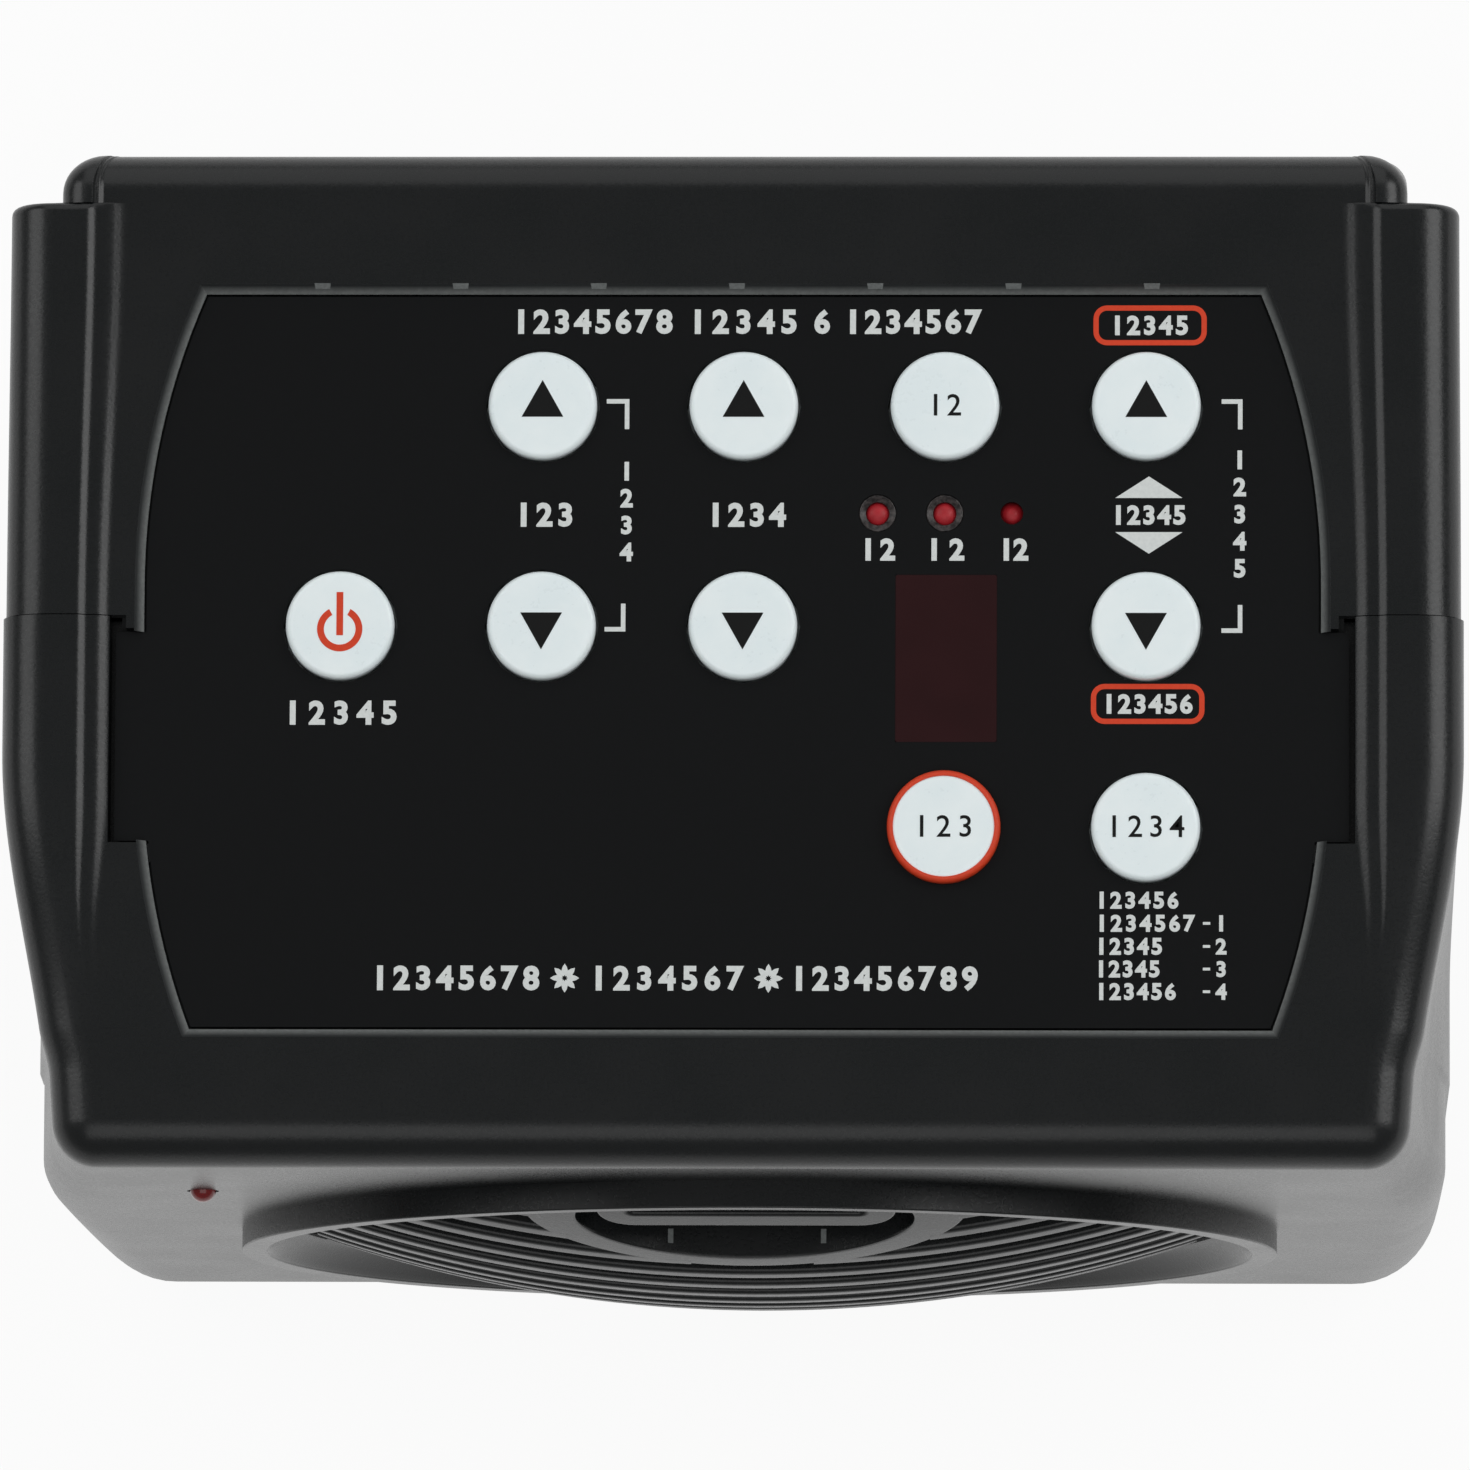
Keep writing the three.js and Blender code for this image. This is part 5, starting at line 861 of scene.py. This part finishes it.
# How many figures each row has, where it starts and ends, its middle and its height.
for count, x0, x1, y, height in (
    (8, -24.6, -6.5, 41.2, 2.75), (5, -5.2, 7.4, 41.2, 2.75), (7, 12.1, 27.6, 41.2, 2.75),
    (3, -24.2, -17.3, 19.65, 2.7), (4, -3.0, 6.1, 19.65, 2.7), (5, -49.7, -36.4, -2.4, 2.7),
    (2, 13.9, 18.2, 15.8, 2.5), (2, 21.0, 26.0, 15.8, 2.5), (2, 29.4, 32.6, 15.8, 2.5),
    (5, 41.7, 50.1, 19.65, 2.2), (5, 41.5, 50.4, 40.8, 2.2), (6, 40.7, 50.9, -1.35, 2.2),
    (8, -39.7, -20.7, -31.8, 2.75), (7, -15.7, 1.8, -31.8, 2.75), (9, 6.4, 27.5, -31.8, 2.75),
    (6, 40.0, 49.4, -23.1, 1.9), (7, 40.0, 51.2, -25.65, 1.9), (5, 40.0, 47.6, -28.2, 1.9),
    (5, 40.0, 47.3, -30.7, 1.9), (6, 40.0, 49.1, -33.2, 1.9),
):
    white += row(COUNT[:count], x0, x1, y, height)
white += row(COUNT[5], 8.6, 11.0, 41.2, 2.75)
white += [number(str(k + 1), -11.7, 24.5 - 3.0 * k, 2.1) for k in range(4)]
white += [number(str(k + 1), 55.9, 25.8 - 3.02 * k, 2.1) for k in range(5)]
for k, y in enumerate((-25.65, -28.2, -30.7, -33.2)):
    white += [number(str(k + 1), 53.9, y, 1.8), block((51.9, 52.7), (y - 0.15, y + 0.15), INK)]
# Screen ink: matt, with the faint mottle of the mesh.
white_ink = speckled("White screen ink", "c9cecd", "e2e6e4", 0.4, 0.6)
red_ink = speckled("Red screen ink", "cb3613", "dc4420", 0.4, 0.55)
dress(solid("white_print", *white), "casing", white_ink, "label_print")
dress(solid("red_print", pill(46.0, 40.8), pill(45.8, -1.35)), "casing", red_ink, "label_print")

# Keys
# Ten discs of glossy white ABS, each with a flange under the plate and a stem on its switch. Their signs are printed
# in black and red, and the memory key has a red ring round its edge.
key_abs = moulded_abs("Glossy white moulded ABS", "ebf6f8", "f1fafb", 0.6, 0.004, 0.3, patch=6.0)
black_ink = speckled("Black pad-print ink", "0a0b0b", "141515", 0.3, 0.5, Specular_IOR_Level=0.25)
KEY_TOP = LABEL_TOP + 1.2
SIGN = (KEY_TOP - 0.05, KEY_TOP + 0.03)
KEY_ROWS = {"string": (2, 2.05), "memory": (3, 3.6), "mode": (4, 4.6)}  # figures, and half the row's width
# The crown falls by 0.05 mm to a rounded edge of 0.7 mm. Under it are the flange and the stem.
crown = [(r, KEY_TOP - 0.05 * (r / 5.3) ** 2) for r in np.linspace(0, 5.3, 8)]
stem = [(6.0, 135.2), (7.2, 135.2), (7.2, 133.9), (1.7, 133.9), (1.7, 131.7), (0, 131.7)]
key_profile = crown + arc(5.3, KEY_TOP - 0.75, 0.7, 90, 0) + stem
for name, (x, y) in key_places.items():
    body = f"{name}_key"
    cap = solid(f"{name}_cap", turned(key_profile, (x, y), "z", 72))
    dress(cap, body, key_abs, "key_white", f"key_{name}")
    if name.endswith(("_up", "_down")):
        s = 1 if name.endswith("_up") else -1
        skins = [prism(np.array([(x - 2.3, y - s * 1.35), (x + 2.3, y - s * 1.35), (x, y + s * 2.75)]), *SIGN)]
    elif name == "power":
        outer, inner = [arc(x, y - 0.5, r, 118, 422, 39) for r in (2.5, 1.75)]
        stroke = block((x - 0.37, x + 0.37), (y - 1.2, y + 3.6), SIGN)
        skins = [skin(ring_rows(outer, inner, SIGN).swapaxes(0, 1)), stroke]
    else:
        count, reach = KEY_ROWS[name]
        skins = row(COUNT[:count], x - reach, x + reach, y, 2.4, SIGN, 0.005)
    dress(solid(f"{name}_sign", *skins), body, red_ink if name == "power" else black_ink, "key_white")
ring_profile = [(5.55, KEY_TOP - 0.2), (5.6, KEY_TOP + 0.03)] + arc(5.65, KEY_TOP - 0.55, 0.6, 80, 0, 6)
ring_profile += [(6.25, 138.0), (5.9, 138.0), (5.55, KEY_TOP - 0.2)]
memory_ring = solid("memory_ring", turned(ring_profile, key_places["memory"], "z", 72))
dress(memory_ring, "memory_key", red_ink, "lamp_red")

# Lamps and display window
# Three small red lamps under holes in the sheet, two with a smoked ring round the dome and the third behind a smaller
# hole, and a dark red acrylic window.
lamp_diffuse = speckled("Diffused red epoxy", "8c0f18", "b8242e", 0.9, 0.5, 2.0)
# Smoked clear plastic: near black, with pale flecks that are painted highlights where the light catches inside.
smoked, tree, shader, place = material("Smoked clear plastic")
fleck = wire(tree, "TexNoise", Vector=place, Scale=1 / (0.5 * MM), Detail=3.0, Roughness=0.7)
share = wire(tree, "MapRange", in0=fleck, in1=0.4, in2=0.7)
tint = wire(tree, "Mix", COLOURS, Factor=share, in6="161415", in7="4c4746")
feed(tree, shader, Base_Color=tint.outputs[2], Roughness=0.3)
ring_profile = [(1.52, 138.0), (2.08, 138.0), (2.08, 138.6)] + arc(1.9, 138.6, 0.18, 0, 90, 3)
ring_profile += [(1.3, 138.35), (1.3, 138.0), (1.52, 138.0)]
rings = []
for name, place in lamp_places.items():
    tip = 138.3 if name == "right" else 138.6
    lamp = solid(f"string_lamp_{name}", turned(lamp_profile(tip, 128.5), place, "z", 40))
    dress(lamp, "casing", lamp_diffuse, "lamp_red", f"string_led_{name}")
    if name != "right":
        rings.append(turned(ring_profile, place, "z", 40))
dress(solid("string_lamp_rings", *rings), "casing", smoked, "lamp_red")
# Dyed acrylic over an unlit display: a very dark red with a clean gloss.
window_red = speckled("Dark red acrylic", "240a0c", "2c0d10", 5, (0.1, 0.2), 1.0, IOR=1.49)
pane = prism(rounded(*WINDOW, 11.16, 18.56, 0.2, 3), 134.4, LABEL_TOP - 0.02)
lip = prism(rounded(*WINDOW, 13.6, 20.6, 0.3, 3), 134.4, 135.4)
dress(solid("display_pane", pane, lip), "casing", window_red, "window_red", "display_window")

# Feet
# Four turned rubber feet, pressed into the base, with a rounded lower edge.
foot_rubber = moulded_abs("Black rubber", "141414", "1b1b1b", 0.5, 0.03, 0.8)
foot_profile = [(0, 0), (4.9, 0)] + arc(5.2, 0.5, 0.5, 270, 340, 4) + [(6.4, 1.6), (6.5, 2.0), (6.5, 2.5), (0, 2.5)]
for end, y in (("front", FRONT_Y + 13), ("rear", REAR_Y - 13)):
    for hand, s in (("left", -1), ("right", 1)):
        foot = solid(f"rubber_foot_{end}_{hand}", turned(foot_profile, (s * 66.6, y), "z", 48))
        dress(foot, "casing", foot_rubber, "rubber_black", f"foot_{end}_{hand}")

# Table, light and camera
# A pale laminate table that the camera sees as white and that keeps the shadow. In the case's reflections it glows
# as a painted pool of light that fades with the distance. Four soft boxes stand round it, and a fill above gives light
# but no highlight.
ground = solid("table", block((-3000, 3000), (-3000, 3000), (-20, 0)))
table_top, tree, shader, place = material("Pale laminate")
mottle = wire(tree, "TexNoise", Vector=place, Scale=1 / (60 * MM), Detail=3.0)
gloss = wire(tree, "MapRange", in0=mottle, in3=0.65, in4=0.75)
feed(tree, shader, Base_Color="ececec", Roughness=gloss)
rays = wire(tree, "LightPath")
glow = wire(tree, "Emission", Color=(1, 1, 1, 1), Strength=1.0)
direct = wire(tree, "Math", {"operation": "MULTIPLY"}, in0=rays.outputs["Is Camera Ray"], in1=0.93)
# Painted light: in reflections the table glows at 0.68 out to 120 mm from the middle, fading to 0.14 at 320 mm.
away = wire(tree, "VectorMath", {"operation": "LENGTH"}, in0=place)
pool = wire(tree, "MapRange", in0=away.outputs["Value"], in1=120 * MM, in2=320 * MM, in3=0.68, in4=0.14)
painted_reflection = wire(tree, "Math", {"operation": "MULTIPLY"}, in0=rays.outputs["Is Glossy Ray"], in1=pool)
seen = wire(tree, "Math", {"operation": "MAXIMUM"}, in0=direct, in1=painted_reflection)
mixed = wire(tree, "MixShader", in0=seen, in1=shader, in2=glow)
feed(tree, tree.nodes["Material Output"], Surface=mixed)
ground.data.materials.append(table_top)

world = bpy.data.worlds.new("studio")
bpy.context.scene.world = world
world.use_nodes = True
tree = world.node_tree
rays = wire(tree, "LightPath")
level = wire(tree, "MapRange", in0=rays.outputs["Is Camera Ray"], in3=0.175, in4=1.0)
feed(tree, tree.nodes["Background"], Strength=level, Color=(1, 1, 1, 1))

# Each lamp's place in metres, its length and width, and its watts. The side boxes look straight across.
AIM = np.array([0, 0, 0.08])
LAMPS = {
    "left box": ((-0.92, 0.4, 0.82), 0.9, 0.75, 3.1), "right box": ((0.92, 0.4, 0.82), 0.9, 0.75, 5.0),
    "rear box": ((0, 1.1, 0.75), 1.2, 1.3, 2.7), "front box": ((0, -0.6, 1.18), 1.2, 0.7, 1.9),
    "fill": ((0, -0.2, 1.6), 1.2, 0.9, 5.6),
}


def look(holder, right, back, place):
    """Sets an object at its place so that it looks away from back, with its own X along right."""
    turn = np.eye(4)
    turn[:3] = np.column_stack([right, np.cross(back, right), back, place])
    holder.matrix_world = turn.T.tolist()


for name, (place, length, width, power) in LAMPS.items():
    lamp = bpy.data.lights.new(name, "AREA")
    lamp.shape, lamp.size, lamp.size_y, lamp.energy = "RECTANGLE", length, width, power
    holder = add_object(name, lamp)
    holder.visible_glossy = name != "fill"
    back = np.array(place) - AIM
    if place[0]:
        back[1] = 0
    back /= np.linalg.norm(back)
    side = np.cross((0, 0, 1), back)
    look(holder, side / np.linalg.norm(side), back, place)

# The camera looks down at a point of the panel, from a little to the right and to the front, and is rolled a little.
TARGET = np.array([0.43, -4.99, 140.0]) * MM
DISTANCE = 1.76
lens = bpy.data.cameras.new("camera")
lens.sensor_width, lens.lens, lens.clip_end = 36, 391.84, 20
camera = add_object("camera", lens)
tx, ty, roll = np.radians((1.761, 7.493, 0.288))
back = np.array([np.sin(tx) * np.cos(ty), -np.sin(ty), np.cos(tx) * np.cos(ty)])
right = np.cross((0, 1, 0), back)
right /= np.linalg.norm(right)
rolled = np.cos(roll) * right + np.sin(roll) * np.cross(back, right)
look(camera, rolled, back, TARGET + DISTANCE * back)
bpy.context.scene.camera = camera
bpy.context.scene.view_settings.view_transform = "Standard"
